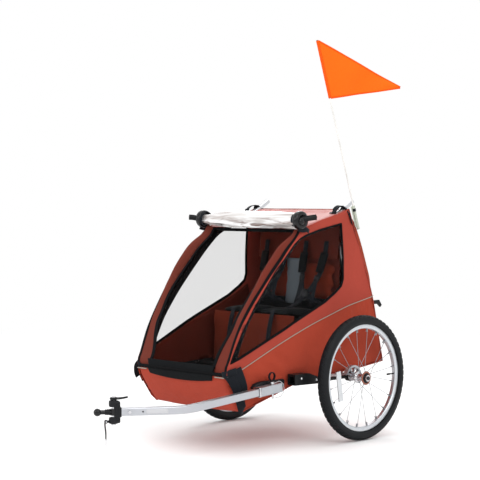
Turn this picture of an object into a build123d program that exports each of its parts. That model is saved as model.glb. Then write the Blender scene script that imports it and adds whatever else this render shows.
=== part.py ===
"""Two-seat child bicycle trailer: folding aluminium frame, fabric cabin, two spoked
20 inch wheels on quick-release stub axles, and a pinned tow arm with a swivelling ball hitch.

Axes: +Z up, -Y is the direction of travel, +X is the trailer's left side (the tow arm side).
Origin: on the ground, below the middle of the overall bounding box.
All sizes are millimetres. Geometry is drawn about the axle first and then moved by SHIFT.
"""
from build123d import *
import math
import os

# ---------------------------------------------------------------- driving sizes
SHIFT = (0.0, 451.33, 0.0)      # drawing frame to part frame
WHEEL_R = 250.0                # tyre outside radius (20 x 1.75 inch)
TYRE_R = 22.5                  # tyre section radius
TRACK = 376.0                  # half track, wheel centre plane
AXLE_Y, AXLE_Z = 0.0, 250.0
SPOKES = 20
RAIL_X = 240.0                 # base rails and roof tubes, half spacing
HOOP_X = 212.0                 # rear hoop uprights, half spacing
TUBE_R, TUBE_RI = 11.0, 9.0    # main frame tube
SIDE_X = 272.0                 # inner face of the side fabric
SKIN = 3.0                     # nominal modelled fabric thickness
PIVOT = (-590.0, 302.0)        # roof frame pivot (Y, Z)
HOOP_PIVOT = (165.0, 322.0)    # rear hoop pivot (Y, Z)
HOOP_TOP = (49.8, 777.7)
ARM = 28.0                     # tow arm square tube
ARM_WALL = 2.0
REC = 35.0                     # receiver sleeve outside
ARM_PTS = [(300.0, -400.0, 241.0), (300.0, -878.0, 203.0), (169.0, -1081.0, 203.0)]
POLE_R = 3.0
POLE_LO = (283.0, 82.0, 848.0)
POLE_HI = (283.0, -164.0, 1583.0)

out = {}


def put(name, shape):
    if isinstance(shape, (list, tuple)):
        flat = []
        for s in shape:
            flat += list(s.solids())
        shape = Compound(children=[Solid(s.wrapped) for s in flat]) if len(flat) > 1 else flat[0]
    out[name] = shape


def rod(p0, p1, r, ri=0.0):
    """Straight round bar or tube from p0 to p1."""
    a, b = Vector(*p0), Vector(*p1)
    pl = Plane(origin=a, z_dir=(b - a).normalized())
    h = (b - a).length
    s = extrude(pl * Circle(r), amount=h)
    if ri:
        s -= extrude(pl * Circle(ri), amount=h)
    return s


def yz(points, x0, x1):
    """Closed Y-Z outline extruded from x0 to x1."""
    f = Plane.YZ * make_face(Polyline(*points, close=True))
    return Pos(x0, 0, 0) * extrude(f, amount=x1 - x0)


def block(cx, cy, cz, sx, sy, sz, pitch=0.0, yaw=0.0, roll=0.0):
    return Pos(cx, cy, cz) * Rot(0, 0, yaw) * Rot(pitch, 0, 0) * Rot(0, roll, 0) * Box(sx, sy, sz)


def flip(s):
    return mirror(s, about=Plane.YZ)


def wheel_place(side):
    """Local +Z (wheel axis, pointing outboard) to the wheel's place."""
    return Pos(side * TRACK, AXLE_Y, AXLE_Z) * Rot(0, 90 * side, 0)


def bent(points, radius, section_r, x_dir=None):
    path = FilletPolyline(*points, radius=radius)
    return path, sweep(Plane(origin=path @ 0, z_dir=path % 0) * Circle(section_r), path=path)


# ---------------------------------------------------------------- wheels
def revolve_outline(pts):
    f = Plane.XZ * make_face(Polyline(*pts, close=True))
    return revolve(f, axis=Axis.Z, revolution_arc=360)


tyre_mid = WHEEL_R - TYRE_R
t_out = [(tyre_mid + TYRE_R * math.cos(math.radians(a)), TYRE_R * math.sin(math.radians(a))) for a in range(-126, 127, 18)]
t_in = [(tyre_mid + (TYRE_R - 4) * math.cos(math.radians(a)), (TYRE_R - 4) * math.sin(math.radians(a))) for a in range(-126, 127, 18)]
tyre = revolve_outline(t_out + t_in[::-1]) - Cylinder(214.5, 60)
inner_tube = revolve(Plane.XZ * Pos(tyre_mid + 0.6, 0) * RegularPolygon(14.6, 12), axis=Axis.Z)
inner_tube -= revolve(Plane.XZ * Pos(tyre_mid + 0.6, 0) * RegularPolygon(13.4, 12), axis=Axis.Z)
rim = revolve_outline([(196, -6), (200, -12), (214, -12), (214, -9.5), (205, -9.5),
                       (205, 9.5), (214, 9.5), (214, 12), (200, 12), (196, 6)])
hub = Cylinder(14, 44) + Pos(0, 0, 18) * Cylinder(23, 3) + Pos(0, 0, -18) * Cylinder(23, 3) - Cylinder(11, 60)
bearings = [Pos(0, 0, z) * (Cylinder(10.95, 7) - Cylinder(6.08, 8)) for z in (-17.5, 17.5)]
hub_seal = Pos(0, 0, 23.5) * (Cylinder(18.5, 3) - Cylinder(13.6, 4))

spokes = []
for i in range(SPOKES):
    flange = 18 if i % 2 else -18
    lead = math.radians(34 if (i // 2) % 2 else -34)
    th = 2 * math.pi * (i + 0.5) / SPOKES
    a0 = th - lead
    p0 = (19.5 * math.cos(a0), 19.5 * math.sin(a0), flange * 1.125 + (1.2 if flange > 0 else -1.2))
    p1 = (195.2 * math.cos(th), 195.2 * math.sin(th), 2.5 if flange > 0 else -2.5)
    v = Vector(*p1) - Vector(*p0)
    n0 = Vector(*p1) - v.normalized() * 13
    spokes.append(rod(p0, p1, 1.0) + rod(tuple(n0), p1, 2.1))

REFL_R = 150.0
valve = Pos(0, 0, 0) * rod((0, 195.5, 0), (0, 160, 0), 2.8) + rod((0, 172, 0), (0, 158, 0), 4.0)
reflector = Pos(0, -REFL_R, 13.5) * Box(118, 24, 5)

for side, s in (("left", 1), ("right", -1)):
    W = wheel_place(s)
    put(f"{side}_tyre", W * tyre)
    put(f"{side}_inner_tube", W * inner_tube)
    put(f"{side}_rim", W * rim)
    put(f"{side}_hub", W * hub)
    put(f"{side}_hub_bearings", [W * b for b in bearings])
    put(f"{side}_hub_seal", W * hub_seal)
    put(f"{side}_spokes", [W * q for q in spokes])
    put(f"{side}_wheel_valve", W * (Rot(0, 0, 0) * valve))
    put(f"{side}_wheel_reflector", W * (Rot(0, 0, 8 * s) * reflector))
    # stub axle, fixed in the wheel mount, with a hollow head for the release button
    ax = s * 1.0
    stub = rod((ax * 322, AXLE_Y, AXLE_Z), (ax * 402, AXLE_Y, AXLE_Z), 6.0)
    head = rod((ax * 402, AXLE_Y, AXLE_Z), (ax * 409, AXLE_Y, AXLE_Z), 13.0)
    head -= rod((ax * 404, AXLE_Y, AXLE_Z), (ax * 412, AXLE_Y, AXLE_Z), 8.2)
    put(f"{side}_stub_axle", stub + head)
    put(f"{side}_release_button", rod((ax * 407.5, AXLE_Y, AXLE_Z), (ax * 412, AXLE_Y, AXLE_Z), 8.0))
    # wheel mount casting: boss, arch and web
    boss = rod((ax * 318, AXLE_Y, AXLE_Z), (ax * 351, AXLE_Y, AXLE_Z), 16.0)
    arch = rod((ax * 318, AXLE_Y, AXLE_Z), (ax * 336, AXLE_Y, AXLE_Z), 46.0)
    arch -= rod((ax * 317, AXLE_Y, AXLE_Z), (ax * 337, AXLE_Y, AXLE_Z), 38.0)
    arch -= Pos(ax * 327, AXLE_Y, AXLE_Z - 40) * Box(40, 120, 100)
    ribs = [Pos(ax * 325, AXLE_Y, AXLE_Z) * Rot(a, 0, 0) * Pos(0, 0, 27) * Box(10, 5, 30) for a in (-62, -20, 22, 62)]
    mount = boss + arch
    for rb in ribs:
        mount += rb
    mount -= rod((ax * 321.5, AXLE_Y, AXLE_Z), (ax * 360, AXLE_Y, AXLE_Z), 6.05)
    put(f"{side}_wheel_mount", mount)

# ---------------------------------------------------------------- base frame
RAIL_F, RAIL_B = (-600.0, 272.0), (212.0, 309.0)


def rail_z(y):
    return RAIL_F[1] + (y - RAIL_F[0]) * (RAIL_B[1] - RAIL_F[1]) / (RAIL_B[0] - RAIL_F[0])


for side, s in (("left", 1), ("right", -1)):
    put(f"{side}_base_rail", rod((s * RAIL_X, *RAIL_F), (s * RAIL_X, *RAIL_B), 12.5, 10.5))
cut_l = rod((RAIL_X, -640, rail_z(-640)), (RAIL_X, 240, rail_z(240)), 12.55)
cut = cut_l + flip(cut_l)
front_cross = rod((-RAIL_X, -582, rail_z(-582)), (RAIL_X, -582, rail_z(-582)), 11, 9) - cut
rear_cross = rod((-RAIL_X, 200, rail_z(200)), (RAIL_X, 200, rail_z(200)), 11, 9) - cut
mid_cross = rod((-RAIL_X, -320, rail_z(-320)), (RAIL_X, -320, rail_z(-320)), 11, 9) - cut
put("front_cross_tube", max(front_cross.solids(), key=lambda q: q.volume))
put("rear_cross_tube", max(rear_cross.solids(), key=lambda q: q.volume))
put("middle_cross_tube", max(mid_cross.solids(), key=lambda q: q.volume))
axle_tube = rod((-318, AXLE_Y, AXLE_Z), (318, AXLE_Y, AXLE_Z), 12.5, 10.0)
put("axle_tube", axle_tube)
saddle = block(RAIL_X, AXLE_Y, 274, 30, 44, 30)
saddle -= rod((180, AXLE_Y, AXLE_Z), (300, AXLE_Y, AXLE_Z), 12.55)
saddle -= cut_l
saddle = max(saddle.solids(), key=lambda q: q.volume)
put("axle_saddles", [saddle, flip(saddle)])

# ---------------------------------------------------------------- belly tub (fabric) and floor
BELLY = [(-628, 296), (-622, 262), (-572, 180), (-546, 158), (-500, 166), (-371, 208), (-259, 238),
         (-146, 252), (-60, 265), (60, 276), (246, 291)]
outer = yz(BELLY + [(243, 299), (-628, 296.5)], -264, 264)
# inner hollow of the tub: the same outline drawn 3 mm inside, open on top
INNER = [(-625, 320), (-624.5, 296), (-618.5, 263), (-569.5, 182.5), (-545.5, 161.6), (-500.5, 169.4), (-371.7, 211.4),
         (-259.5, 241.4), (-146.5, 255.5), (-60.3, 268.5), (60, 279.5), (240, 294.3), (239.5, 320)]
tub = outer - yz(INNER, -261, 261)
saddle_gap = block(RAIL_X, AXLE_Y, 274, 33, 47, 44)
tub -= saddle_gap
tub -= flip(saddle_gap)
tub -= rod((-330, AXLE_Y, AXLE_Z), (330, AXLE_Y, AXLE_Z), 13.0)
put("belly_tub", max(tub.solids(), key=lambda q: q.volume))
fl_y0, fl_y1 = -305.0, 165.0
floor = yz([(fl_y0, rail_z(fl_y0) - 8), (fl_y1, rail_z(fl_y1) - 8), (fl_y1, rail_z(fl_y1) - 5), (fl_y0, rail_z(fl_y0) - 5)], -222, 222)
put("floor_panel", floor)

# ---------------------------------------------------------------- roof frame (folds about PIVOT)
ROOF_PATH = [(-588, 326), (-572, 398), (-520, 496), (-440, 598), (-330, 718), (-228, 822), (-150, 853), (-30, 880), (93, 953)]
roof_pts = [(RAIL_X, y, z) for y, z in ROOF_PATH]
roof_r = [120, 160, 260, 300, 260, 120, 150]
path = FilletPolyline(*roof_pts, radius=roof_r)
sec = Plane(origin=path @ 0, z_dir=path % 0)
roof_tube = sweep(sec * Circle(TUBE_R), path=path) - sweep(sec * Circle(TUBE_RI), path=path)
for side, s in (("left", 1), ("right", -1)):
    f = (lambda q: q) if s > 0 else flip
    put(f"{side}_roof_tube", f(roof_tube))
    knuckle = rod((RAIL_X - 11, *PIVOT), (RAIL_X + 11, *PIVOT), 12)
    knuckle += rod((RAIL_X, *PIVOT), (RAIL_X, -581, 358), 14)
    knuckle -= rod((RAIL_X, *ROOF_PATH[0]), (RAIL_X, *ROOF_PATH[1]), TUBE_R + 0.05)
    knuckle -= Pos(RAIL_X - 61.5, *PIVOT) * Box(100, 200, 200)
    knuckle -= Pos(RAIL_X + 61.2, *PIVOT) * Box(100, 200, 200)
    knuckle -= rod((RAIL_X - 20, *PIVOT), (RAIL_X + 20, *PIVOT), 4.1)
    put(f"{side}_pivot_knuckle", f(knuckle))
    # pivot bracket on the chassis: inboard cheek, welded to the front cross tube and rail
    cheek = yz([(-608, 262), (-562, 262), (-572, 318), (-606, 318)], RAIL_X - 16.5, RAIL_X - 12.5)
    cheek -= rod((0, -582, rail_z(-582)), (300, -582, rail_z(-582)), 11.05)
    cheek -= rod((RAIL_X - 30, *PIVOT), (RAIL_X + 30, *PIVOT), 4.0)
    bolt = rod((RAIL_X - 19.5, *PIVOT), (RAIL_X + 12, *PIVOT), 4.0) + rod((RAIL_X + 11.4, *PIVOT), (RAIL_X + 15.4, *PIVOT), 7.5)
    bolt += rod((RAIL_X - 20.5, *PIVOT), (RAIL_X - 16.5, *PIVOT), 7.0)
    put(f"{side}_pivot_bracket", f(max(cheek.solids(), key=lambda q: q.volume)))
    put(f"{side}_pivot_bolt", f(bolt))

fr_cross = rod((-RAIL_X, -224, 819), (RAIL_X, -224, 819), 9, 7.5)
thin_cut = sweep(sec * Circle(TUBE_R + 0.03), path=path)
thin_cut += flip(thin_cut)
fr_cross -= thin_cut
put("roof_front_crossbar", max(fr_cross.solids(), key=lambda q: q.volume))

# ---------------------------------------------------------------- rear hoop (folds about HOOP_PIVOT)
hy, hz = HOOP_TOP[0] - HOOP_PIVOT[0], HOOP_TOP[1] - HOOP_PIVOT[1]
hl = math.hypot(hy, hz)
uy, uz = hy / hl, hz / hl
for side, s in (("left", 1), ("right", -1)):
    f = (lambda q: q) if s > 0 else flip
    up = rod((HOOP_X, HOOP_PIVOT[0] + uy * 16, HOOP_PIVOT[1] + uz * 16), (HOOP_X, *HOOP_TOP), TUBE_R, TUBE_RI)
    up -= rod((0, *HOOP_TOP), (HOOP_X, *HOOP_TOP), 9.02)
    put(f"{side}_rear_upright", f(max(up.solids(), key=lambda q: q.volume)))
    foot = rod((HOOP_X - 10, *HOOP_PIVOT), (HOOP_X + 10, *HOOP_PIVOT), 13)
    foot += rod((HOOP_X, *HOOP_PIVOT), (HOOP_X, HOOP_PIVOT[0] + uy * 42, HOOP_PIVOT[1] + uz * 42), 14)
    foot -= rod((HOOP_X, HOOP_PIVOT[0] + uy * 16, HOOP_PIVOT[1] + uz * 16), (HOOP_X, *HOOP_TOP), TUBE_R + 0.05)
    foot -= rod((HOOP_X - 20, *HOOP_PIVOT), (HOOP_X + 20, *HOOP_PIVOT), 4.1)
    foot -= Pos(HOOP_X - 60, *HOOP_PIVOT) * Box(100, 200, 200)
    foot -= Pos(HOOP_X + 60.8, *HOOP_PIVOT) * Box(100, 200, 200)
    foot = max(foot.solids(), key=lambda q: q.volume)
    put(f"{side}_hoop_foot", f(foot))
    # lug on the base rail carrying the hoop's pivot bolt
    lug = yz([(150, 296), (206, 300), (200, 328), (178, 340), (152, 340)], HOOP_X + 11.5, HOOP_X + 15.5)
    lug -= rod((0, 200, rail_z(200)), (300, 200, rail_z(200)), 11.05)
    lug -= cut_l
    lug -= rod((HOOP_X - 30, *HOOP_PIVOT), (HOOP_X + 30, *HOOP_PIVOT), 4.0)
    lug = max(lug.solids(), key=lambda q: q.volume)
    put(f"{side}_hoop_lug", f(lug))
    hb = rod((HOOP_X - 12, *HOOP_PIVOT), (HOOP_X + 17, *HOOP_PIVOT), 4.0)
    hb += rod((HOOP_X - 14.5, *HOOP_PIVOT), (HOOP_X - 10.6, *HOOP_PIVOT), 7.5)
    put(f"{side}_hoop_bolt", f(hb))
    # moulded hook bolted behind the upright
    t = 218.0 / hl
    hp = (HOOP_PIVOT[0] + hy * t, HOOP_PIVOT[1] + hz * t)
    collar = rod((HOOP_X, hp[0] - uy * 14, hp[1] - uz * 14), (HOOP_X, hp[0] + uy * 14, hp[1] + uz * 14), 15)
    collar -= rod((HOOP_X, *HOOP_PIVOT), (HOOP_X, *HOOP_TOP), TUBE_R + 0.05)
    hook = yz([(hp[0] - 9, hp[1] - 8), (hp[0] + 124, hp[1] - 6), (hp[0] + 140, hp[1] - 20), (hp[0] + 148, hp[1] - 12),
               (hp[0] + 132, hp[1] + 10), (hp[0] - 9, hp[1] + 8)], 253.5, 261.5)
    hook += rod((HOOP_X + 12, *hp), (255, *hp), 8)
    put(f"{side}_rear_hook", f(collar + hook))
top_cross = rod((-HOOP_X + 0.1, *HOOP_TOP), (HOOP_X - 0.1, *HOOP_TOP), 9, 7.5)
put("hoop_top_crossbar", top_cross)

# ---------------------------------------------------------------- cabin fabric (soft, plain closed solids)
PILLAR = [(-634, 300), (-630, 330), (-616, 372), (-579, 448), (-522, 532), (-445, 623), (-327, 748), (-262, 812), (-238, 846)]
REAR = [(44, 916), (79, 826), (181, 554), (243, 300)]
side_out = PILLAR + REAR
WINDOW = [(-590, 352), (-570, 358), (-296, 477), (-110, 553), (-22, 604), (-6, 640), (-6, 858), (-120, 838), (-205, 816), (-287, 776), (-387, 684), (-494, 556), (-560, 440)]
side_panel = yz(side_out, SIDE_X, SIDE_X + SKIN) - yz(WINDOW, SIDE_X - 5, SIDE_X + 10)
cx = sum(p[0] for p in WINDOW) / len(WINDOW)
cz = sum(p[1] for p in WINDOW) / len(WINDOW)
PANE = [(cx + (y - cx) * 0.985, cz + (z - cz) * 0.985) for y, z in WINDOW]
pane = yz(PANE, SIDE_X + 0.5, SIDE_X + 2.0)
for side in ("left", "right"):
    f = (lambda q: q) if side == "left" else flip
    # the hook passes through the rear panel, not the side
    put(f"{side}_side_panel", f(side_panel))
    put(f"{side}_side_window", f(pane))


def offset_open(pts, d):
    res = []
    for i, (y, z) in enumerate(pts):
        a = pts[max(i - 1, 0)]
        b = pts[min(i + 1, len(pts) - 1)]
        ty, tz = b[0] - a[0], b[1] - a[1]
        L = math.hypot(ty, tz)
        res.append((y + tz / L * d, z - ty / L * d))
    return res


front_line = [(-630, 302), (-627, 330), (-613, 372), (-576, 448), (-521, 532), (-445, 626), (-328, 751), (-264, 814), (-242, 842)]
front_in = offset_open(front_line, 2.5)
strip = front_line + front_in[::-1]
put("front_mesh_window", yz(strip, -176, 176))
put("front_cover_borders", [yz(strip, 177, 268), yz(strip, -268, -177)])

roof_line = [(-238, 848), (-120, 880), (0, 908), (42, 920)]
roof_in = offset_open(roof_line, 3.0)
tube_gap = block(RAIL_X, 20, 920, 29, 90, 60)
roof_panel = yz(roof_line + roof_in[::-1], -268, 268) - tube_gap - flip(tube_gap)
put("roof_panel", max(roof_panel.solids(), key=lambda q: q.volume))
rear_line = [(46, 914), (78, 824), (178, 552), (240, 300)]
rear_in = offset_open(rear_line, 3.0)
hook_gap = block(258, 190, 537, 30, 80, 40)
rear_panel = yz(rear_line + [(2 * a[0] - b[0], 2 * a[1] - b[1]) for a, b in zip(rear_line, rear_in)][::-1], -268, 268) - hook_gap - flip(hook_gap) - tube_gap - flip(tube_gap)
put("rear_panel", max(rear_panel.solids(), key=lambda q: q.volume))

# ---------------------------------------------------------------- rolled rain cover on the roof's front edge
roll = Pos(-266, -254, 879) * Rot(0, 90, 0) * extrude(Ellipse(27, 30), amount=532)
put("rain_cover_roll", roll)
for side, s in (("left", 1), ("right", -1)):
    f = (lambda q: q) if s > 0 else flip
    band = Pos(266.5, -254, 879) * Rot(0, 90, 0) * extrude(Ellipse(31, 34), amount=20)
    put(f"{side}_roll_strap", f(band))
    tog = Pos(287, -254, 879) * Rot(0, 90, 0) * extrude(RectangleRounded(20, 26, 5), amount=22)
    put(f"{side}_roll_toggle", f(tog))
    # grab loop over the rear corner of the roof
    arch = rod((RAIL_X - 12, 6, 916), (RAIL_X + 12, 6, 916), 36) - rod((RAIL_X - 13, 6, 916), (RAIL_X + 13, 6, 916), 33)
    arch -= block(RAIL_X, 6, 916 - 36, 40, 120, 90, pitch=17)
    arch = max(arch.solids(), key=lambda q: q.volume)
    put(f"{side}_grab_loop", f(arch))

# ---------------------------------------------------------------- seat and harness
put("seat_base", yz([(-250, 494), (-238, 526), (4, 512), (8, 484)], -196, 196))
seat_back = yz([(12, 538), (22, 537), (36, 846), (28, 847)], -224, 224)
put("seat_back", seat_back)
put("seat_front_skirt", yz([(-252, 388), (-249, 388), (-262, 268), (-265, 268)], -200, 200))
for side, s in (("left", 1), ("right", -1)):
    f = (lambda q: q) if s > 0 else flip
    straps = []
    for x in (62, 146):
        straps.append(yz([(15, 708), (17.5, 708), (-28, 552), (-30.5, 552)], x, x + 24))
    lap = block(112, -42, 440, 150, 3, 22, pitch=-20)
    crotch = yz([(-121, 529), (-119, 527.5), (-64, 548), (-65, 550.5)], 101, 123)
    put(f"{side}_harness", [f(q) for q in straps] + [f(crotch)])
buckle = block(112, -52, 570, 44, 14, 44, pitch=-14)
put("harness_buckles", [buckle, flip(buckle)])

# ---------------------------------------------------------------- side guards with stroller-arm sockets
guard = yz([(-337, 243), (-337, 285), (-256, 285), (-180, 258), (-180, 240)], 288, 328)
bar = rod((308, -196, 248), (308, -14, 250), 7.0)
clampb = rod((300, AXLE_Y, AXLE_Z), (316, AXLE_Y, AXLE_Z), 19)
guard = guard + bar + clampb
guard -= rod((260, AXLE_Y, AXLE_Z), (340, AXLE_Y, AXLE_Z), 12.55)
guard -= block(308, -312, 262.5, 26, 60, 26)
guard = max(guard.solids(), key=lambda q: q.volume)
put("left_side_guard", guard)
put("right_side_guard", flip(guard))

# ---------------------------------------------------------------- tow arm, receiver and pin
A0, B0, C0 = [Vector(*p) for p in ARM_PTS]
d1 = (B0 - A0).normalized()
d2 = (C0 - B0).normalized()
arm_path = FilletPolyline(A0, B0, C0, radius=170)
pl = Plane(origin=arm_path @ 0, x_dir=(1, 0, 0), z_dir=arm_path % 0)
arm = sweep(pl * RectangleRounded(ARM, ARM, 3.5), path=arm_path)
arm -= sweep(pl * RectangleRounded(ARM - 2 * ARM_WALL, ARM - 2 * ARM_WALL, 2), path=arm_path)
PIN = A0 + d1 * 34
pin_dir = Vector(0, 0, 1) - d1 * d1.Z
pin_dir = pin_dir.normalized()
arm -= rod(tuple(PIN - pin_dir * 40), tuple(PIN + pin_dir * 40), 4.3)
side_dir = Vector(-d2.Y, d2.X, 0).normalized()
for dist in (34, 82):
    c = C0 - d2 * dist
    arm -= rod(tuple(c - side_dir * 30), tuple(c + side_dir * 30), 3.25)
put("tow_arm", arm)
rpl = Plane(origin=A0 - d1 * 4, x_dir=(1, 0, 0), z_dir=d1)
rec = extrude(rpl * RectangleRounded(REC, REC, 3), amount=118) - extrude(rpl * RectangleRounded(ARM + 0.8, ARM + 0.8, 3.8), amount=118)
rec -= rod(tuple(PIN - pin_dir * 40), tuple(PIN + pin_dir * 40), 4.3)
put("arm_receiver", rec)
# receiver bracket: two plates from the sleeve to the base rail, through the fabric
brk = []
for dy in (64, 104):
    c = A0 + d1 * dy
    zc = rail_z(c.Y)
    p = block((RAIL_X + 300) / 2, c.Y, (zc + c.Z) / 2 + 2, 60, 10, 40)
    p -= extrude(rpl * RectangleRounded(REC + 0.04, REC + 0.04, 3), amount=118)
    p -= cut_l
    p = max(p.solids(), key=lambda q: q.center().X * 0 + q.volume)
    brk.append(p)
tub_gap = None
put("receiver_brackets", brk)
for dy in (64, 104):
    c = A0 + d1 * dy
    zc = rail_z(c.Y)
    g = block((RAIL_X + 300) / 2, c.Y, (zc + c.Z) / 2 + 2, 62, 12, 43)
    t2 = out["belly_tub"] - g
    out["belly_tub"] = max(t2.solids(), key=lambda q: q.volume)

pin = rod(tuple(PIN - pin_dir * 38), tuple(PIN + pin_dir * 19), 4.0)
pin += rod(tuple(PIN + pin_dir * 18.2), tuple(PIN + pin_dir * 27), 8.0)
ring_axis = Vector(1, 0, 0)
HEADC = PIN + pin_dir * 22.6
pin -= rod(tuple(HEADC - ring_axis * 20), tuple(HEADC + ring_axis * 20), 1.5)
put("tow_pin", pin)
# spring ring: passes behind the receiver and snaps under the pin's tip
back = -d1
mid = HEADC - pin_dir * 27 + back * 36
low = PIN - pin_dir * 27 + back * 14
sx = 9.6
ring_pts = [HEADC + Vector(sx, 0, 0), HEADC + Vector(sx, 0, 0) + back * 31 + pin_dir * 3, HEADC + Vector(sx * 0.9, 0, 0) + back * 53 - pin_dir * 11,
            HEADC + Vector(sx * 0.8, 0, 0) + back * 56 - pin_dir * 41, HEADC + Vector(sx * 0.9, 0, 0) + back * 34 - pin_dir * 58, HEADC + Vector(sx, 0, 0) + back * 2 - pin_dir * 58]
ring_path = FilletPolyline(*ring_pts, radius=11)
ring = sweep(Plane(origin=ring_path @ 0, z_dir=ring_path % 0) * Circle(1.25), path=ring_path)
ring += rod(tuple(HEADC - ring_axis * 7.4), tuple(HEADC + ring_axis * (sx + 1.25)), 1.25)
ring += Pos(*tuple(ring_path @ 1)) * Sphere(1.8)
put("pin_spring_ring", ring)
lc = PIN + pin_dir * 27.1
loop = rod((lc.X - 7, lc.Y, lc.Z + 17), (lc.X + 7, lc.Y, lc.Z + 17), 19) - rod((lc.X - 9, lc.Y, lc.Z + 17), (lc.X + 9, lc.Y, lc.Z + 17), 13.5)
loop -= block(lc.X, lc.Y, lc.Z - 20 + 0.6, 60, 60, 40)
loop = max(loop.solids(), key=lambda q: q.volume)
put("pin_pull_loop", loop)

# wrap-round corner straps holding the tub to the base frame
for side, s in (("left", 1), ("right", -1)):
    f = (lambda q: q) if s > 0 else flip
    st = yz([(-612, 316), (-584, 316), (-520, 168), (-556, 158)], 275.4, 277.6)
    put(f"{side}_corner_strap", f(st))

# ---------------------------------------------------------------- hitch
H = C0 + d2 * 22
yaw = math.degrees(math.atan2(d2.Y, d2.X)) + 90
HP = Pos(H.X, H.Y, H.Z) * Rot(0, 0, yaw)          # local -Y points forward along the arm's tip
plug = Box(ARM - 2 * ARM_WALL - 0.8, 50, ARM - 2 * ARM_WALL - 0.8)
plug = HP * Pos(0, 45, 0) * fillet(plug.edges().filter_by(Axis.Y), 2.5)
body = HP * Pos(0, 6, 0) * Box(34, 32, 84)
body = fillet(body.edges(), 5) + plug
slot = HP * Pos(0, -6, 0) * Box(60, 38, 25)
body -= slot
body -= HP * Cylinder(5.05, 120)
body += HP * Pos(0, 0, 30) * Cylinder(17, 22) + HP * Pos(0, 0, -30) * Cylinder(17, 22)
body -= HP * Cylinder(5.05, 120)
cross = C0 - d2 * 34
body -= rod(tuple(cross - side_dir * 30), tuple(cross + side_dir * 30), 3.3)
put("hitch_head", body)
kp = HP * Cylinder(5.0, 86)
kp += HP * Pos(0, 0, -45) * Cylinder(8, 4)
put("hitch_kingpin", kp)
hb = rod(tuple(cross - side_dir * 17), tuple(cross + side_dir * 17), 3.0)
hb += rod(tuple(cross + side_dir * 14.4), tuple(cross + side_dir * 18.4), 5.5) + rod(tuple(cross - side_dir * 18.4), tuple(cross - side_dir * 14.4), 5.5)
put("hitch_clamp_bolt", hb)
eye = HP * (Cylinder(12, 24) - Cylinder(5.08, 30))
neck = HP * rod((0, -9, 0), (0, -48, 0), 8.0)
neck -= HP * Cylinder(5.08, 40)
ball = HP * Pos(0, -58, 0) * Sphere(14)
put("hitch_ball", eye + neck + ball)
lever = HP * Pos(0, 0, 48) * (Cylinder(13, 9) - Cylinder(5.05, 20)) + HP * Pos(0, 28, 48) * Box(9, 46, 8)
lever -= HP * Cylinder(5.05, 120)
put("hitch_lock_lever", lever)
kp2 = out["hitch_kingpin"] + HP * Pos(0, 0, 48) * Cylinder(5.0, 12)
kp2 += HP * Pos(0, 0, 54.5) * Cylinder(7.5, 3)
put("hitch_kingpin", kp2)
# safety strap hanging from its lug on the hitch head, with a snap hook at its end
LUG_Y, LUG_Z = -27.0, -34.0
lug_bar = HP * Pos(0, -20, LUG_Z) * Box(6, 14, 9)
lug_eye = HP * Pos(0, LUG_Y, LUG_Z) * Rot(0, 90, 0) * Cylinder(5, 6)
head2 = out["hitch_head"] + lug_bar + lug_eye
head2 -= HP * Pos(0, LUG_Y, LUG_Z) * Rot(0, 90, 0) * Cylinder(2.52, 10)
put("hitch_head", head2)
put("strap_pin", HP * Pos(0, LUG_Y, LUG_Z) * Rot(0, 90, 0) * Cylinder(2.5, 17))
strap = HP * Pos(0, LUG_Y, -42.6) * Box(14, 9, 6.2)
for sgn in (1, -1):
    strap += HP * Pos(sgn * 5.2, LUG_Y, LUG_Z) * Rot(0, 90, 0) * Cylinder(6, 3.6)
    strap += HP * Pos(sgn * 5.2, LUG_Y, -38) * Box(3.6, 9, 6)
strap += HP * Pos(0, LUG_Y, -70) * Box(16, 3.5, 52)
strap -= HP * Pos(0, LUG_Y, LUG_Z) * Rot(0, 90, 0) * Cylinder(2.6, 20)
put("safety_strap", strap)
hook_s = HP * Pos(0, LUG_Y, -112.2) * (Box(13, 3, 32) - Pos(0, 0, -1) * Box(7, 6, 20))
put("strap_snap_hook", hook_s)

# ---------------------------------------------------------------- safety flag
pl0, ph = Vector(*POLE_LO), Vector(*POLE_HI)
pd = (ph - pl0).normalized()
plen = (ph - pl0).length
put("flag_pole", rod(tuple(pl0), tuple(ph), POLE_R))
jm = pl0 + pd * 330
put("pole_ferrule", rod(tuple(jm), tuple(jm + pd * 45), 4.6, 3.02))
F_TOP, F_BOT = ph + pd * 2, ph - pd * 232
slv = rod(tuple(F_BOT), tuple(F_TOP), 5.2, 3.4)
ang = math.radians(20)
fdir = Vector(math.sin(ang), math.cos(ang), 0)
tip = ph - pd * 130 + fdir * 372
tip = Vector(tip.X, tip.Y, tip.Z - 62)
off = fdir * 4.6
nrm = (fdir.cross(pd)).normalized()
tri = make_face(Polyline(F_TOP + off, tip, F_BOT + off, close=True))
flag = extrude(tri, amount=0.8, dir=nrm, both=False)
put("flag", flag + slv)
pk0 = pl0 - pd * 6
pocket = rod(tuple(pk0), tuple(pl0 + pd * 96), 6.2) - rod(tuple(pl0 - pd * 1.0), tuple(pl0 + pd * 200), 3.08)
put("flag_pocket", pocket)
for i, d in enumerate((12, 80)):
    pass

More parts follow.
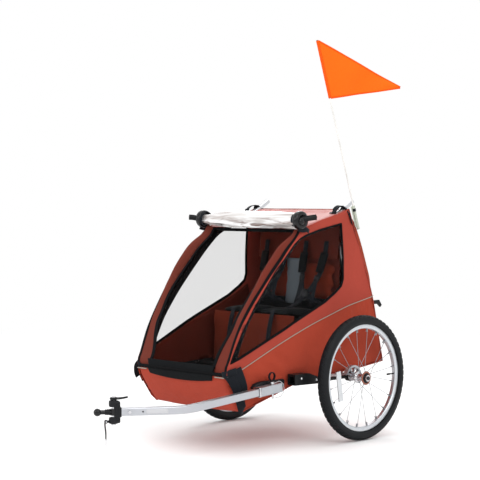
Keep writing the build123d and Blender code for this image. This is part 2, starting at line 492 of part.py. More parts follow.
# ---------------------------------------------------------------- write
os.makedirs("parts", exist_ok=True)
for old in os.listdir("parts"):
    os.remove(os.path.join("parts", old))
GROUPS = {
    "stub_axles": ["left_stub_axle", "right_stub_axle"],
    "wheel_mounts": ["left_wheel_mount", "right_wheel_mount"],
    "chassis_tubes": ["left_base_rail", "right_base_rail", "front_cross_tube", "middle_cross_tube", "rear_cross_tube"],
    "left_inner_tube": ["left_inner_tube", "left_wheel_valve"],
    "right_inner_tube": ["right_inner_tube", "right_wheel_valve"],
    "roof_tubes": ["left_roof_tube", "right_roof_tube"],
    "pivot_knuckles": ["left_pivot_knuckle", "right_pivot_knuckle"],
    "frame_pivot_brackets": ["left_pivot_bracket", "right_pivot_bracket", "left_hoop_lug", "right_hoop_lug"],
    "frame_pivot_bolts": ["left_pivot_bolt", "right_pivot_bolt", "left_hoop_bolt", "right_hoop_bolt"],
    "rear_hoop_tubes": ["left_rear_upright", "right_rear_upright", "hoop_top_crossbar"],
    "hoop_feet": ["left_hoop_foot", "right_hoop_foot"],
    "rear_hooks": ["left_rear_hook", "right_rear_hook"],
    "side_panels": ["left_side_panel", "right_side_panel"],
    "side_windows": ["left_side_window", "right_side_window"],
    "front_cover": ["front_mesh_window", "front_cover_borders"],
    "roll_end_straps": ["left_roll_strap", "right_roll_strap", "left_roll_toggle", "right_roll_toggle"],
    "grab_loops": ["left_grab_loop", "right_grab_loop"],
    "harness_straps": ["left_harness", "right_harness"],
    "side_guards": ["left_side_guard", "right_side_guard"],
    "corner_straps": ["left_corner_strap", "right_corner_strap"],
    "hitch_fasteners": ["hitch_clamp_bolt", "strap_pin"],
    "safety_strap": ["safety_strap", "strap_snap_hook"],
}
DROP = ["left_hub_seal", "right_hub_seal", "pole_ferrule", "seat_front_skirt"]
grouped = {}
for new, members in GROUPS.items():
    flat = [Solid(q.wrapped) for m in members for q in out[m].solids()]
    grouped[new] = Compound(children=flat)
for members in GROUPS.values():
    for m in members:
        out.pop(m, None)
for m in DROP:
    out.pop(m, None)
out.update(grouped)
lo = [1e9] * 3
hi = [-1e9] * 3
for name, shape in out.items():
    moved = Pos(*SHIFT) * shape
    export_step(moved, f"parts/{name}.step")
    b = moved.bounding_box()
    for k, (u, v) in enumerate(zip(b.min, b.max)):
        lo[k] = min(lo[k], u)
        hi[k] = max(hi[k], v)
print("nodes", len(out), "box", [round(v, 2) for v in lo], [round(v, 2) for v in hi], "centre Y", round((lo[1] + hi[1]) / 2, 3), "centre X", round((lo[0] + hi[0]) / 2, 3))
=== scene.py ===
import bpy
import bmesh
import math
import random
from mathutils import Vector, Matrix, noise
from mathutils.geometry import delaunay_2d_cdt


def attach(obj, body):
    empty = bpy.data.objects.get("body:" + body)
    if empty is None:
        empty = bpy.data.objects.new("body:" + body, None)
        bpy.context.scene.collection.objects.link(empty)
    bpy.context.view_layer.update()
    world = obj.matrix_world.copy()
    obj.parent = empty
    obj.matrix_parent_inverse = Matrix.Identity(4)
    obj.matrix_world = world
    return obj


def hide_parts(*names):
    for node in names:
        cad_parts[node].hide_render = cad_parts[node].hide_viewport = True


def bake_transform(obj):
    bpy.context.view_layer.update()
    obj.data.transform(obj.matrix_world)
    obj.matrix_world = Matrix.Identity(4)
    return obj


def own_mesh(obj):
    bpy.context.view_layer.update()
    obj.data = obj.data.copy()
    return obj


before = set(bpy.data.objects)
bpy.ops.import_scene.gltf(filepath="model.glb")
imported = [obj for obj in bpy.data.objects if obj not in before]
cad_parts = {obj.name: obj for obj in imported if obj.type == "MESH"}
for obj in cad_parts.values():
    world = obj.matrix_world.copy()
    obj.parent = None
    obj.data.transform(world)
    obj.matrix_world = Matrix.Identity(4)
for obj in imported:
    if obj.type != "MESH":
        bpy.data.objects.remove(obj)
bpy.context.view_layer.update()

scene = bpy.context.scene
random.seed(7)
SH = 451.33


def W(x, y, z):
    return Vector((x / 1000.0, (y + SH) / 1000.0, z / 1000.0))


def cl(t):
    return 0.0 if t < 0 else (1.0 if t > 1 else t)


def sm(t):
    t = cl(t)
    return t * t * (3 - 2 * t)


def lin(r, g, b):
    o = []
    for c in (r, g, b):
        c = c / 255.0
        o.append(c / 12.92 if c <= 0.04045 else ((c + 0.055) / 1.055) ** 2.4)
    return tuple(o)


# ------------------------------------------------------------------ materials
class NT:
    def __init__(self, name):
        self.m = bpy.data.materials.new(name)
        self.m.use_nodes = True
        self.t = self.m.node_tree
        self.t.nodes.clear()
        self.out = self.t.nodes.new("ShaderNodeOutputMaterial")
        self.co = self.t.nodes.new("ShaderNodeTexCoord").outputs["Object"]

    def n(self, kind, **kw):
        q = self.t.nodes.new(kind)
        for k, v in kw.items():
            setattr(q, k, v)
        return q

    def put(self, sock, v):
        if hasattr(v, "is_output"):
            self.t.links.new(v, sock)
        else:
            sock.default_value = v

    def math(self, op, a, b=0.0, c=0.0):
        q = self.n("ShaderNodeMath", operation=op)
        self.put(q.inputs[0], a)
        self.put(q.inputs[1], b)
        self.put(q.inputs[2], c)
        return q.outputs[0]

    def scaled(self, s):
        q = self.n("ShaderNodeVectorMath", operation="MULTIPLY")
        self.put(q.inputs[0], self.co)
        q.inputs[1].default_value = s
        return q.outputs[0]

    def noise(self, scale, detail=3.0, rough=0.55, vec=None, dist=0.0):
        q = self.n("ShaderNodeTexNoise")
        self.put(q.inputs["Vector"], vec if vec is not None else self.co)
        q.inputs["Scale"].default_value = scale
        q.inputs["Detail"].default_value = detail
        q.inputs["Roughness"].default_value = rough
        q.inputs["Distortion"].default_value = dist
        return q.outputs["Fac"]

    def wave(self, ax, pitch, vec=None):
        q = self.n("ShaderNodeTexWave", wave_type="BANDS", bands_direction=ax)
        self.put(q.inputs["Vector"], vec if vec is not None else self.co)
        q.inputs["Scale"].default_value = 0.31416 / pitch
        q.inputs["Distortion"].default_value = 0.0
        return q.outputs["Fac"]

    def remap(self, v, a, b, c, d):
        q = self.n("ShaderNodeMapRange")
        self.put(q.inputs[0], v)
        for i, w in zip((1, 2, 3, 4), (a, b, c, d)):
            q.inputs[i].default_value = w
        return q.outputs[0]

    def mix(self, f, a, b, mode="MIX"):
        q = self.n("ShaderNodeMix", data_type="RGBA", blend_type=mode)
        self.put(q.inputs[0], f)
        for s, v in ((q.inputs[6], a), (q.inputs[7], b)):
            if isinstance(v, tuple):
                v = (*v, 1.0)
            self.put(s, v)
        return q.outputs[2]

    def bump(self, h, strength, distance, normal=None):
        q = self.n("ShaderNodeBump")
        q.inputs["Strength"].default_value = strength
        q.inputs["Distance"].default_value = distance
        self.put(q.inputs["Height"], h)
        if normal is not None:
            self.put(q.inputs["Normal"], normal)
        return q.outputs["Normal"]

    def bsdf(self, color, rough, metal=0.0, normal=None, **kw):
        q = self.n("ShaderNodeBsdfPrincipled")
        if isinstance(color, tuple):
            color = (*color, 1.0)
        self.put(q.inputs["Base Color"], color)
        self.put(q.inputs["Roughness"], rough)
        self.put(q.inputs["Metallic"], metal)
        if normal is not None:
            self.put(q.inputs["Normal"], normal)
        for k, v in kw.items():
            self.put(q.inputs[k.replace("_", " ")], v)
        return q.outputs[0]

    def end(self, shader):
        self.t.links.new(shader, self.out.inputs["Surface"])
        return self.m

    def weave(self, pitch):
        g = self.n("ShaderNodeNewGeometry").outputs["Normal"]
        ab = self.n("ShaderNodeVectorMath", operation="ABSOLUTE")
        self.put(ab.inputs[0], g)
        sp = self.n("ShaderNodeSeparateXYZ")
        self.put(sp.inputs[0], ab.outputs[0])
        tot = None
        for i, ax in enumerate("XYZ"):
            w = self.math("SUBTRACT", 1.0, sp.outputs[i])
            t = self.math("MULTIPLY", self.wave(ax, pitch), w)
            tot = t if tot is None else self.math("ADD", tot, t)
        return self.math("MULTIPLY", tot, 0.55)


def k(rgb, f):
    return tuple(min(1.0, c * f) for c in rgb)


def fabric(name, rgb, rough=0.82, sheen=0.02, pitch=0.0012, var=0.10, rip=0.0, crease=0.6, spec=0.08, contrast=0.16):
    t = NT(name)
    w = t.weave(pitch)
    big = t.noise(4.0, 3.0)
    small = t.noise(180.0, 4.0, 0.7)
    col = t.mix(t.remap(big, 0.3, 0.7, 0.0, 1.0), k(rgb, 1 - var), k(rgb, 1 + var))
    col = t.mix(t.remap(small, 0.3, 0.75, 0.0, 0.35), col, k(rgb, 1.3))
    shade = t.remap(w, 0.1, 0.95, 1.0 - contrast, 1.0 + contrast * 0.5)
    cc = t.n("ShaderNodeCombineColor")
    for i in range(3):
        t.put(cc.inputs[i], shade)
    col = t.mix(1.0, col, cc.outputs[0], "MULTIPLY")
    h = w
    if rip:
        r = t.weave(rip)
        r = t.math("POWER", r, 6.0)
        h = t.math("ADD", w, t.math("MULTIPLY", r, 1.5))
        col = t.mix(t.remap(r, 0.1, 0.8, 0.0, 0.35), col, k(rgb, 0.55))
    n1 = t.bump(t.noise(11.0, 4.0, 0.55, dist=0.6), crease, 0.006)
    n2 = t.bump(h, 0.35, 0.0004, n1)
    return t.end(t.bsdf(col, t.remap(small, 0.3, 0.7, rough - 0.06, rough + 0.06), 0.0, n2,
                        Sheen_Weight=sheen, Sheen_Roughness=0.45, Specular_IOR_Level=spec))


def webbing(name, rgb, axis="Z", rough=0.7):
    t = NT(name)
    ribs = t.weave(0.0017)
    fine = t.noise(420.0, 2.0)
    col = t.mix(t.remap(ribs, 0.1, 0.9, 0.0, 1.0), k(rgb, 0.6), k(rgb, 1.6))
    col = t.mix(t.remap(fine, 0.4, 0.7, 0.0, 0.4), col, k(rgb, 2.2))
    nrm = t.bump(ribs, 0.5, 0.0006)
    return t.end(t.bsdf(col, rough, 0.0, nrm, Sheen_Weight=0.03, Sheen_Roughness=0.4, Specular_IOR_Level=0.12))


def plastic(name, rgb, rough=0.42, grain=0.25, var=0.12, coat=0.0):
    t = NT(name)
    a = t.noise(900.0, 2.0)
    b = t.noise(14.0, 4.0)
    col = t.mix(t.remap(b, 0.3, 0.7, 0.0, 1.0), k(rgb, 1 - var), k(rgb, 1 + var * 1.5))
    return t.end(t.bsdf(col, t.remap(b, 0.3, 0.7, rough - 0.07, rough + 0.08), 0.0, t.bump(a, grain, 0.0002), Coat_Weight=coat,
                        Specular_IOR_Level=0.22))


def metal(name, rgb, rough=0.28, stretch=(1, 1, 1), grain=0.12, var=0.08, scale=120.0, cast=False, metallic=1.0):
    t = NT(name)
    v = t.scaled(stretch)
    a = t.noise(scale, 4.0, 0.6, v)
    b = t.noise(9.0, 4.0)
    col = t.mix(t.remap(a, 0.3, 0.7, 0.0, 1.0), k(rgb, 1 - var), k(rgb, 1 + var))
    col = t.mix(t.remap(b, 0.55, 0.75, 0.0, 0.25), col, k(rgb, 0.72))
    r = t.remap(a, 0.25, 0.75, rough - 0.07, rough + 0.1)
    nrm = t.bump(t.noise(700.0, 3.0) if cast else a, grain, 0.0005 if cast else 0.0002)
    return t.end(t.bsdf(col, r, metallic, nrm))


def rubber(name, rgb):
    t = NT(name)
    a = t.noise(500.0, 3.0)
    b = t.noise(10.0, 5.0)
    col = t.mix(t.remap(b, 0.35, 0.7, 0.0, 1.0), k(rgb, 0.8), k(rgb, 1.5))
    return t.end(t.bsdf(col, t.remap(b, 0.3, 0.7, 0.5, 0.66), 0.0, t.bump(a, 0.2, 0.0004), Specular_IOR_Level=0.25))


def film(name, haze=0.05, tint=0.93, haze_rgb=(0.75, 0.75, 0.76), gloss=0.05):
    t = NT(name)
    wr = t.bump(t.noise(7.0, 3.0, 0.5, dist=0.8), 0.5, 0.004)
    tr = t.n("ShaderNodeBsdfTransparent")
    tr.inputs[0].default_value = (tint, tint, tint, 1)
    gl = t.n("ShaderNodeBsdfGlossy")
    gl.inputs["Roughness"].default_value = gloss
    t.put(gl.inputs["Normal"], wr)
    lw = t.n("ShaderNodeLayerWeight")
    lw.inputs["Blend"].default_value = 0.12
    t.put(lw.inputs["Normal"], wr)
    m1 = t.n("ShaderNodeMixShader")
    t.put(m1.inputs[0], t.math("MULTIPLY", lw.outputs["Fresnel"], 0.06))
    t.put(m1.inputs[1], tr.outputs[0])
    t.put(m1.inputs[2], gl.outputs[0])
    hz = t.bsdf(haze_rgb, 0.4, 0.0, wr)
    m2 = t.n("ShaderNodeMixShader")
    t.put(m2.inputs[0], t.remap(t.noise(6.0, 3.0), 0.3, 0.7, haze * 0.6, haze * 1.4))
    t.put(m2.inputs[1], m1.outputs[0])
    t.put(m2.inputs[2], hz)
    return t.end(m2.outputs[0])


def netting(name, rgb, cover=0.35, pitch=0.0016):
    t = NT(name)
    w = t.weave(pitch)
    tr = t.n("ShaderNodeBsdfTransparent")
    tr.inputs[0].default_value = (1, 1, 1, 1)
    col = t.mix(t.remap(w, 0.2, 0.9, 0.0, 1.0), k(rgb, 0.75), k(rgb, 1.2))
    d = t.bsdf(col, 0.75, 0.0, t.bump(w, 0.4, 0.0004), Specular_IOR_Level=0.05)
    m = t.n("ShaderNodeMixShader")
    t.put(m.inputs[0], t.remap(w, 0.15, 0.95, cover * 0.5, min(1.0, cover * 1.5)))
    t.put(m.inputs[1], tr.outputs[0])
    t.put(m.inputs[2], d)
    return t.end(m.outputs[0])


CORAL = lin(176, 78, 64)
M_SIDE = fabric("coral_upper", lin(158, 64, 52), crease=0.5)
M_LOW = fabric("coral_lower", lin(160, 62, 44), crease=0.7)
M_BELLY = fabric("coral_belly", lin(162, 64, 48), crease=0.9)
# roof coral is lighter and greyer than the side coral: partly painted sky reflection on the roof top, besides the
# shader's real sheen
M_ROOF = fabric("coral_roof", lin(168, 78, 70), sheen=0.5, spec=0.5, rough=0.6, crease=0.5)
# rear coral is darker than the side coral: painted shade on the rear face
M_REAR = fabric("coral_rear", lin(142, 60, 40), crease=0.8)
M_BORDER = fabric("coral_net_border", lin(108, 46, 36), rip=0.0052, contrast=0.3, pitch=0.0018)
# lighter copy of the border coral, used on the right-hand border only: painted light
M_BORDER_PAINTED_LIT = fabric("coral_net_border_painted_lit", lin(108, 50, 40), rip=0.0052, contrast=0.3, pitch=0.0018)
# the three cabin corals below are the outside coral darkened: painted shade inside the cabin
M_INNER = fabric("cabin_lining", lin(92, 34, 23))
M_WALLIN = fabric("cabin_wall", lin(86, 30, 20))
M_SEATC = fabric("seat_coral", lin(104, 38, 22))
M_BLACKF = fabric("black_fabric", lin(16, 18, 20), var=0.2)
M_BLACKSEAT = fabric("seat_black", lin(15, 18, 19), var=0.2)
M_GREYF = fabric("grey_pad", lin(104, 112, 118), pitch=0.0040, contrast=0.8)
M_BIND = fabric("black_binding", lin(12, 13, 15), pitch=0.001, crease=0.2)
M_WEB = webbing("black_webbing", lin(18, 21, 26))
M_PIPE = fabric("reflective_piping", lin(150, 146, 136), rough=0.45, pitch=0.0008, crease=0.1)
M_NET = netting("front_netting", lin(30, 20, 17), cover=0.10)
M_FILM_N = film("clear_film_side", haze=0.002, tint=0.95)
M_FLAG = fabric("flag_orange", lin(255, 104, 18), rough=0.6, pitch=0.0009, crease=0.3, var=0.04)
M_HEM = fabric("flag_hem", lin(244, 86, 16), rough=0.6, pitch=0.0009, crease=0.4, var=0.06)
M_SLEEVE = fabric("pole_sleeve", lin(176, 182, 168), rough=0.5, spec=0.4, pitch=0.0016, crease=0.6)
M_POLE = plastic("pole_glassfibre", lin(222, 220, 216), rough=0.3, grain=0.1)
M_ALU = metal("brushed_tube", (0.62, 0.63, 0.65), rough=0.30, stretch=(60, 1, 60), grain=0.08)
M_ALUX = metal("brushed_cross_tube", (0.60, 0.61, 0.63), rough=0.3, stretch=(1, 60, 60), grain=0.08)
M_ARM = metal("arm_satin", (0.50, 0.51, 0.54), rough=0.36, stretch=(40, 1, 40), grain=0.06)
M_CAST = metal("silver_casting", (0.48, 0.50, 0.53), rough=0.42, cast=True, grain=0.35, scale=40.0)
M_STEEL = metal("plated_steel", (0.62, 0.62, 0.64), rough=0.2, grain=0.06)
M_SPOKE = metal("spoke_steel", (0.30, 0.31, 0.33), rough=0.3, grain=0.03)
M_RIM = metal("rim_satin", (0.60, 0.63, 0.66), rough=0.38, grain=0.06, scale=200.0)
M_BRASS = metal("bronze_seal", lin(150, 100, 86), rough=0.4, grain=0.1)
M_BLKP = plastic("black_plastic", lin(14, 15, 17), rough=0.42)
M_BLKG = plastic("black_gloss", lin(8, 9, 11), rough=0.22, grain=0.05, coat=0.25)
M_BLKC = plastic("black_casting", lin(20, 21, 24), rough=0.48, grain=0.6, var=0.25)
M_TYRE = rubber("tyre_rubber", lin(7, 10, 14))
M_TUBE = rubber("tube_rubber", lin(14, 14, 16))
M_PLATE = plastic("blank_plate", lin(192, 192, 195), rough=0.35, grain=0.1, var=0.03)


def reflector_material():
    t = NT("reflector_prisms")
    w = t.weave(0.0034)
    col = t.mix(t.remap(w, 0.1, 0.9, 0.0, 1.0), lin(170, 176, 182), lin(244, 246, 248))
    return t.end(t.bsdf(col, 0.14, 0.0, t.bump(w, 0.8, 0.001), Transmission_Weight=0.15, Coat_Weight=1.0))


def roll_material():
    t = NT("rolled_film")
    a = t.noise(17.0, 4.0, 0.6, t.scaled((0.22, 1.9, 1.9)), 1.1)
    b = t.noise(48.0, 3.0, 0.6, t.scaled((0.18, 1.5, 1.5)), 0.7)
    sx = t.n("ShaderNodeSeparateXYZ")
    t.put(sx.inputs[0], t.co)
    # brown streaks held to the underside of the roll, darker towards the bottom: painted shade
    shade_low_mask = t.remap(sx.outputs[2], 0.852, 0.905, 1.0, 0.0)
    col = t.mix(t.remap(a, 0.36, 0.56, 0.0, 1.0), lin(186, 178, 174), lin(246, 246, 246))
    painted_shade_streaks = t.math("MULTIPLY", t.remap(b, 0.50, 0.62, 0.0, 0.95), t.remap(shade_low_mask, 0.15, 0.9, 0.1, 1.0))
    col = t.mix(painted_shade_streaks, col, lin(104, 74, 64))
    nrm = t.bump(a, 0.45, 0.006)
    nrm = t.bump(b, 0.15, 0.002, nrm)
    return t.end(t.bsdf(col, t.remap(a, 0.3, 0.7, 0.08, 0.28), 0.25, nrm, Coat_Weight=0.8, Coat_Roughness=0.06))


M_REFL = reflector_material()
M_ROLL = roll_material()


# ------------------------------------------------------------------ mesh helpers
def mesh_obj(name, verts, faces, mats, fmat=None, smooth=True):
    me = bpy.data.meshes.new(name)
    me.from_pydata([tuple(v) for v in verts], [], faces)
    for m in (mats if isinstance(mats, (list, tuple)) else [mats]):
        me.materials.append(m)
    if fmat is not None:
        me.polygons.foreach_set("material_index", fmat)
    me.validate()
    bm = bmesh.new()
    bm.from_mesh(me)
    bmesh.ops.recalc_face_normals(bm, faces=bm.faces)
    bm.to_mesh(me)
    bm.free()
    if smooth:
        me.polygons.foreach_set("use_smooth", [True] * len(me.polygons))
    me.update()
    ob = bpy.data.objects.new(name, me)
    scene.collection.objects.link(ob)
    return ob


def bake(ob):
    bpy.context.view_layer.update()
    dg = bpy.context.evaluated_depsgraph_get()
    me = bpy.data.meshes.new_from_object(ob.evaluated_get(dg))
    ob.modifiers.clear()
    ob.data = me
    return ob


def thick(ob, t=0.0012, offset=0.0):
    q = ob.modifiers.new("t", "SOLIDIFY")
    q.thickness = t
    q.offset = offset
    q.use_even_offset = False
    return bake(ob)


def subsurf(ob, n=1):
    q = ob.modifiers.new("s", "SUBSURF")
    q.levels = n
    q.render_levels = n
    return bake(ob)


def bevel(ob, w=0.0008, seg=2):
    q = ob.modifiers.new("b", "BEVEL")
    q.width = w
    q.segments = seg
    q.limit_method = "ANGLE"
    q.angle_limit = 0.6
    return ob


def catmull(pts, step, closed=False):
    pts = [Vector(p) for p in pts]
    n = len(pts)
    out = []
    rng = n if closed else n - 1
    for i in range(rng):
        p1, p2 = pts[i], pts[(i + 1) % n]
        p0 = pts[(i - 1) % n] if (closed or i > 0) else p1 * 2 - p2
        p3 = pts[(i + 2) % n] if (closed or i + 2 < n) else p2 * 2 - p1
        m = max(1, int((p2 - p1).length / step))
        for j in range(m):
            t = j / m
            out.append(0.5 * ((2 * p1) + (p2 - p0) * t + (2 * p0 - 5 * p1 + 4 * p2 - p3) * t * t + (3 * p1 - p0 - 3 * p2 + p3) * t ** 3))
    if not closed:
        out.append(pts[-1])
    return out


def sweep(name, path, section, normal, mat, closed=False, caps=True):
    """section points (a, b): a along the binormal, b along the normal; normal is a Vector or f(i, tangent)"""
    n = len(path)
    vs, fs = [], []
    m = len(section) if not callable(section) else len(section(0.0))
    for i, p in enumerate(path):
        if closed:
            t = path[(i + 1) % n] - path[(i - 1) % n]
        else:
            t = path[min(i + 1, n - 1)] - path[max(i - 1, 0)]
        t.normalize()
        nv = normal(i, t) if callable(normal) else Vector(normal)
        nv = (nv - t * nv.dot(t))
        nv.normalize()
        b = t.cross(nv)
        sec = section(i / max(1, n - 1)) if callable(section) else section
        for a, c in sec:
            vs.append(p + b * a + nv * c)
    for i in range(n if closed else n - 1):
        j = (i + 1) % n
        for q in range(m):
            r = (q + 1) % m
            fs.append((i * m + q, i * m + r, j * m + r, j * m + q))
    if not closed and caps:
        fs.append(tuple(range(m - 1, -1, -1)))
        fs.append(tuple((n - 1) * m + q for q in range(m)))
    return mesh_obj(name, vs, fs, mat)


def ring(r, seg=10, ry=None):
    ry = r if ry is None else ry
    return [(r * math.cos(2 * math.pi * i / seg), ry * math.sin(2 * math.pi * i / seg)) for i in range(seg)]


def strap_section(w, t):
    h, e = w / 2, t / 2
    return [(-h, -e * 0.4), (-h, e * 0.4), (-h + e, e), (-h * 0.5, e * 1.05), (0, e * 1.08), (h * 0.5, e * 1.05), (h - e, e),
            (h, e * 0.4), (h, -e * 0.4), (h - e, -e), (h * 0.5, -e * 0.95), (0, -e * 0.95), (-h * 0.5, -e * 0.95), (-h + e, -e)]


def tube(name, pts, r, mat, step=0.008, closed=False, seg=10, up=(0.13, 0.21, 0.97)):
    return sweep(name, catmull(pts, step, closed), ring(r, seg), Vector(up), mat, closed)


def strap(name, pts, w, t, normal, mat, step=0.008):
    return sweep(name, catmull(pts, step), strap_section(w, t), normal, mat)


def join(name, obs):
    bpy.ops.object.select_all(action="DESELECT")
    for o in obs:
        o.select_set(True)
    bpy.context.view_layer.objects.active = obs[0]
    bpy.ops.object.join()
    o = bpy.context.view_layer.objects.active
    o.name = name
    o.data.name = name
    return o


def lathe(name, profile, place, mat, seg=64, closed=False, fmat=None):
    """profile (r, h) pairs; place(r, angle, h) -> Vector"""
    vs, fs, fm = [], [], []
    n = len(profile)
    for i in range(seg):
        a = 2 * math.pi * i / seg
        for r, h in profile:
            vs.append(place(r, a, h))
    for i in range(seg):
        j = (i + 1) % seg
        for q in range(n if closed else n - 1):
            r = (q + 1) % n
            fs.append((i * n + q, i * n + r, j * n + r, j * n + q))
            fm.append(fmat(q) if fmat else 0)
    return mesh_obj(name, vs, fs, mat, fm if fmat else None)


def grid(name, fn, nu, nv, mat):
    vs = [fn(i / nu, j / nv) for i in range(nu + 1) for j in range(nv + 1)]
    fs = [(i * (nv + 1) + j, (i + 1) * (nv + 1) + j, (i + 1) * (nv + 1) + j + 1, i * (nv + 1) + j + 1) for i in range(nu) for j in range(nv)]
    return mesh_obj(name, vs, fs, mat)


def flipped(ob, name):
    c = ob.copy()
    c.data = ob.data.copy()
    c.name = name
    c.data.name = name
    scene.collection.objects.link(c)
    for v in c.data.vertices:
        v.co.x = -v.co.x
    c.data.flip_normals()
    return c


def inside(p, poly):
    x, y = p
    c = False
    j = len(poly) - 1
    for i in range(len(poly)):
        xi, yi = poly[i]
        xj, yj = poly[j]
        if (yi > y) != (yj > y) and x < (xj - xi) * (y - yi) / (yj - yi) + xi:
            c = not c
        j = i
    return c


def seg_dist(p, a, b):
    ax, ay = a
    bx, by = b
    dx, dy = bx - ax, by - ay
    L = dx * dx + dy * dy
    t = cl(((p[0] - ax) * dx + (p[1] - ay) * dy) / L) if L else 0
    return math.hypot(p[0] - ax - t * dx, p[1] - ay - t * dy)


def resample(poly, step, closed=True):
    out = []
    n = len(poly)
    for i in range(n if closed else n - 1):
        a, b = poly[i], poly[(i + 1) % n]
        m = max(1, round(math.hypot(b[0] - a[0], b[1] - a[1]) / step))
        for j in range(m):
            out.append((a[0] + (b[0] - a[0]) * j / m, a[1] + (b[1] - a[1]) * j / m))
    if not closed:
        out.append(poly[-1])
    return out


def area2(poly):
    return abs(sum(poly[i][0] * poly[(i + 1) % len(poly)][1] - poly[(i + 1) % len(poly)][0] * poly[i][1] for i in range(len(poly)))) / 2


def region(name, outline, holes, lines, place, step, mats, pick=None):
    """flat outline in mm with holes, meshed near a regular grid and then placed in space"""
    pts, edges = [], []

    def add(loop, closed):
        s = resample(loop, step, closed)
        b = len(pts)
        pts.extend(s)
        m = len(s)
        for i in range(m if closed else m - 1):
            edges.append((b + i, b + (i + 1) % m))
        return s

    loops = [add(outline, True)] + [add(h, True) for h in holes] + [add(l, False) for l in lines]
    bx = [p[0] for p in outline]
    by = [p[1] for p in outline]
    segs = []
    for s in loops:
        segs += s
    buck = {}
    for p in segs:
        buck.setdefault((int(p[0] // step), int(p[1] // step)), []).append(p)
    y = min(by)
    row = 0
    while y < max(by):
        x = min(bx) + (step / 2 if row % 2 else 0)
        while x < max(bx):
            if inside((x, y), outline) and not any(inside((x, y), h) for h in holes):
                c = (int(x // step), int(y // step))
                near = any((x - q[0]) ** 2 + (y - q[1]) ** 2 < (step * 0.62) ** 2
                           for i in (-1, 0, 1) for j in (-1, 0, 1) for q in buck.get((c[0] + i, c[1] + j), ()))
                if not near:
                    pts.append((x, y))
            x += step
        y += step * 0.87
        row += 1
    res = delaunay_2d_cdt([Vector(p) for p in pts], edges, [], 0, 1e-4)
    vs, fs, fm = res[0], [], []
    for f in res[2]:
        c = (sum(vs[i][0] for i in f) / 3, sum(vs[i][1] for i in f) / 3)
        if inside(c, outline) and not any(inside(c, h) for h in holes):
            fs.append(tuple(f))
            fm.append(pick(c) if pick else 0)
    used = sorted({i for f in fs for i in f})
    ix = {v: i for i, v in enumerate(used)}
    return mesh_obj(name, [place(vs[i][0], vs[i][1]) for i in used], [tuple(ix[i] for i in f) for f in fs], mats, fm if pick else None)


# ------------------------------------------------------------------ cabin shape
def XS(y, z):
    return 279 - 12 * sm((z - 700) / 230) - 22 * cl((-350 - y) / 280) - 20 * cl((300 - z) / 150)


PILLAR = [(-635, 304), (-631, 330), (-621, 350), (-579, 448), (-522, 532), (-445, 623), (-327, 750), (-262, 813), (-238, 846)]
SIDE_OUT = PILLAR + [(-120, 880), (0, 908), (44, 924), (79, 826), (181, 554), (245, 292), (100, 275), (-70, 262), (-146, 252), (-259, 244),
                     (-371, 212), (-500, 170), (-546, 154), (-571, 176), (-627, 266)]
WIN = [(-4, 864), (-3, 640), (-14, 613), (-45, 590), (-110, 553), (-296, 478), (-570, 360), (-617, 344), (-604, 372), (-560, 455), (-494, 556), (-387, 690),
       (-287, 784), (-250, 808), (-215, 821), (-132, 841)]
PIPE = [(181, 566), (169, 560), (29, 531), (-92, 497), (-214, 460), (-376, 401), (-579, 311), (-632, 296)]
SPLIT = [(181, 554)] + PIPE[1:]
B0, B1 = W(0, 0, 320), W(0, 0, 840)
HEM_Z0, HEM_Z1 = B0, B1


def pipe_z(y):
    for (y1, z1), (y0, z0) in zip(PIPE, PIPE[1:]):
        if y0 <= y <= y1:
            return z0 + (z1 - z0) * (y - y0) / (y1 - y0)
    return PIPE[0][1] if y > PIPE[0][0] else PIPE[-1][1]


def skin(y, z):
    """outer X of the side fabric, with the cloth's own unevenness"""
    x = XS(y, z)
    u = noise.noise(Vector((y * 0.006, z * 0.006, 3.1)))
    x += 1.6 * u
    d = pipe_z(y) - z
    if d > 0:
        # short gathers under the piping towards the rear, and soft drag lines towards the arm bracket
        g = sm((y + 60) / 190) * math.exp(-d / 120.0) * sm(d / 22)
        x += g * 4.2 * math.sin(y * 0.165 + 1.5 * math.sin(y * 0.05)) * (0.6 + 0.4 * math.sin(y * 0.043))
        h = math.exp(-((y + 400) / 90) ** 2) * sm(d / 40)
        x += 2.2 * h * math.sin((z + 0.6 * y) * 0.085)
        x += 3.0 * math.exp(-((z - 250) / 28) ** 2) * math.sin(y * 0.03)
        x += 2.2 * sm(d / 40) * noise.noise(Vector((y * 0.011, z * 0.005, 9.0)))
    else:
        x += 1.0 * math.sin(z * 0.012 + y * 0.006) * sm((y + 100) / 200)
    return x


step = 9.0
side_l = region("side_fabric_left", SIDE_OUT, [WIN], [PIPE[1:-1]], lambda y, z: W(skin(y, z), y, z), step, [M_SIDE, M_LOW],
                lambda c: 1 if c[1] < pipe_z(c[0]) else 0)
thick(side_l, 0.0012)
side_r = flipped(side_l, "side_fabric_right")
side_area = (area2(SIDE_OUT) - area2(WIN)) / 1e6

win_l = region("side_window_left", WIN, [], [], lambda y, z: W(XS(y, z) - 1.6 + 1.2 * noise.noise(Vector((y * .008, z * .008, 1))), y, z), step * 1.4, [M_FILM_N])
thick(win_l, 0.0005)
win_r = flipped(win_l, "side_window_right")

body_pieces = []


def out_n(i, t):
    return Vector((1, 0, 0))


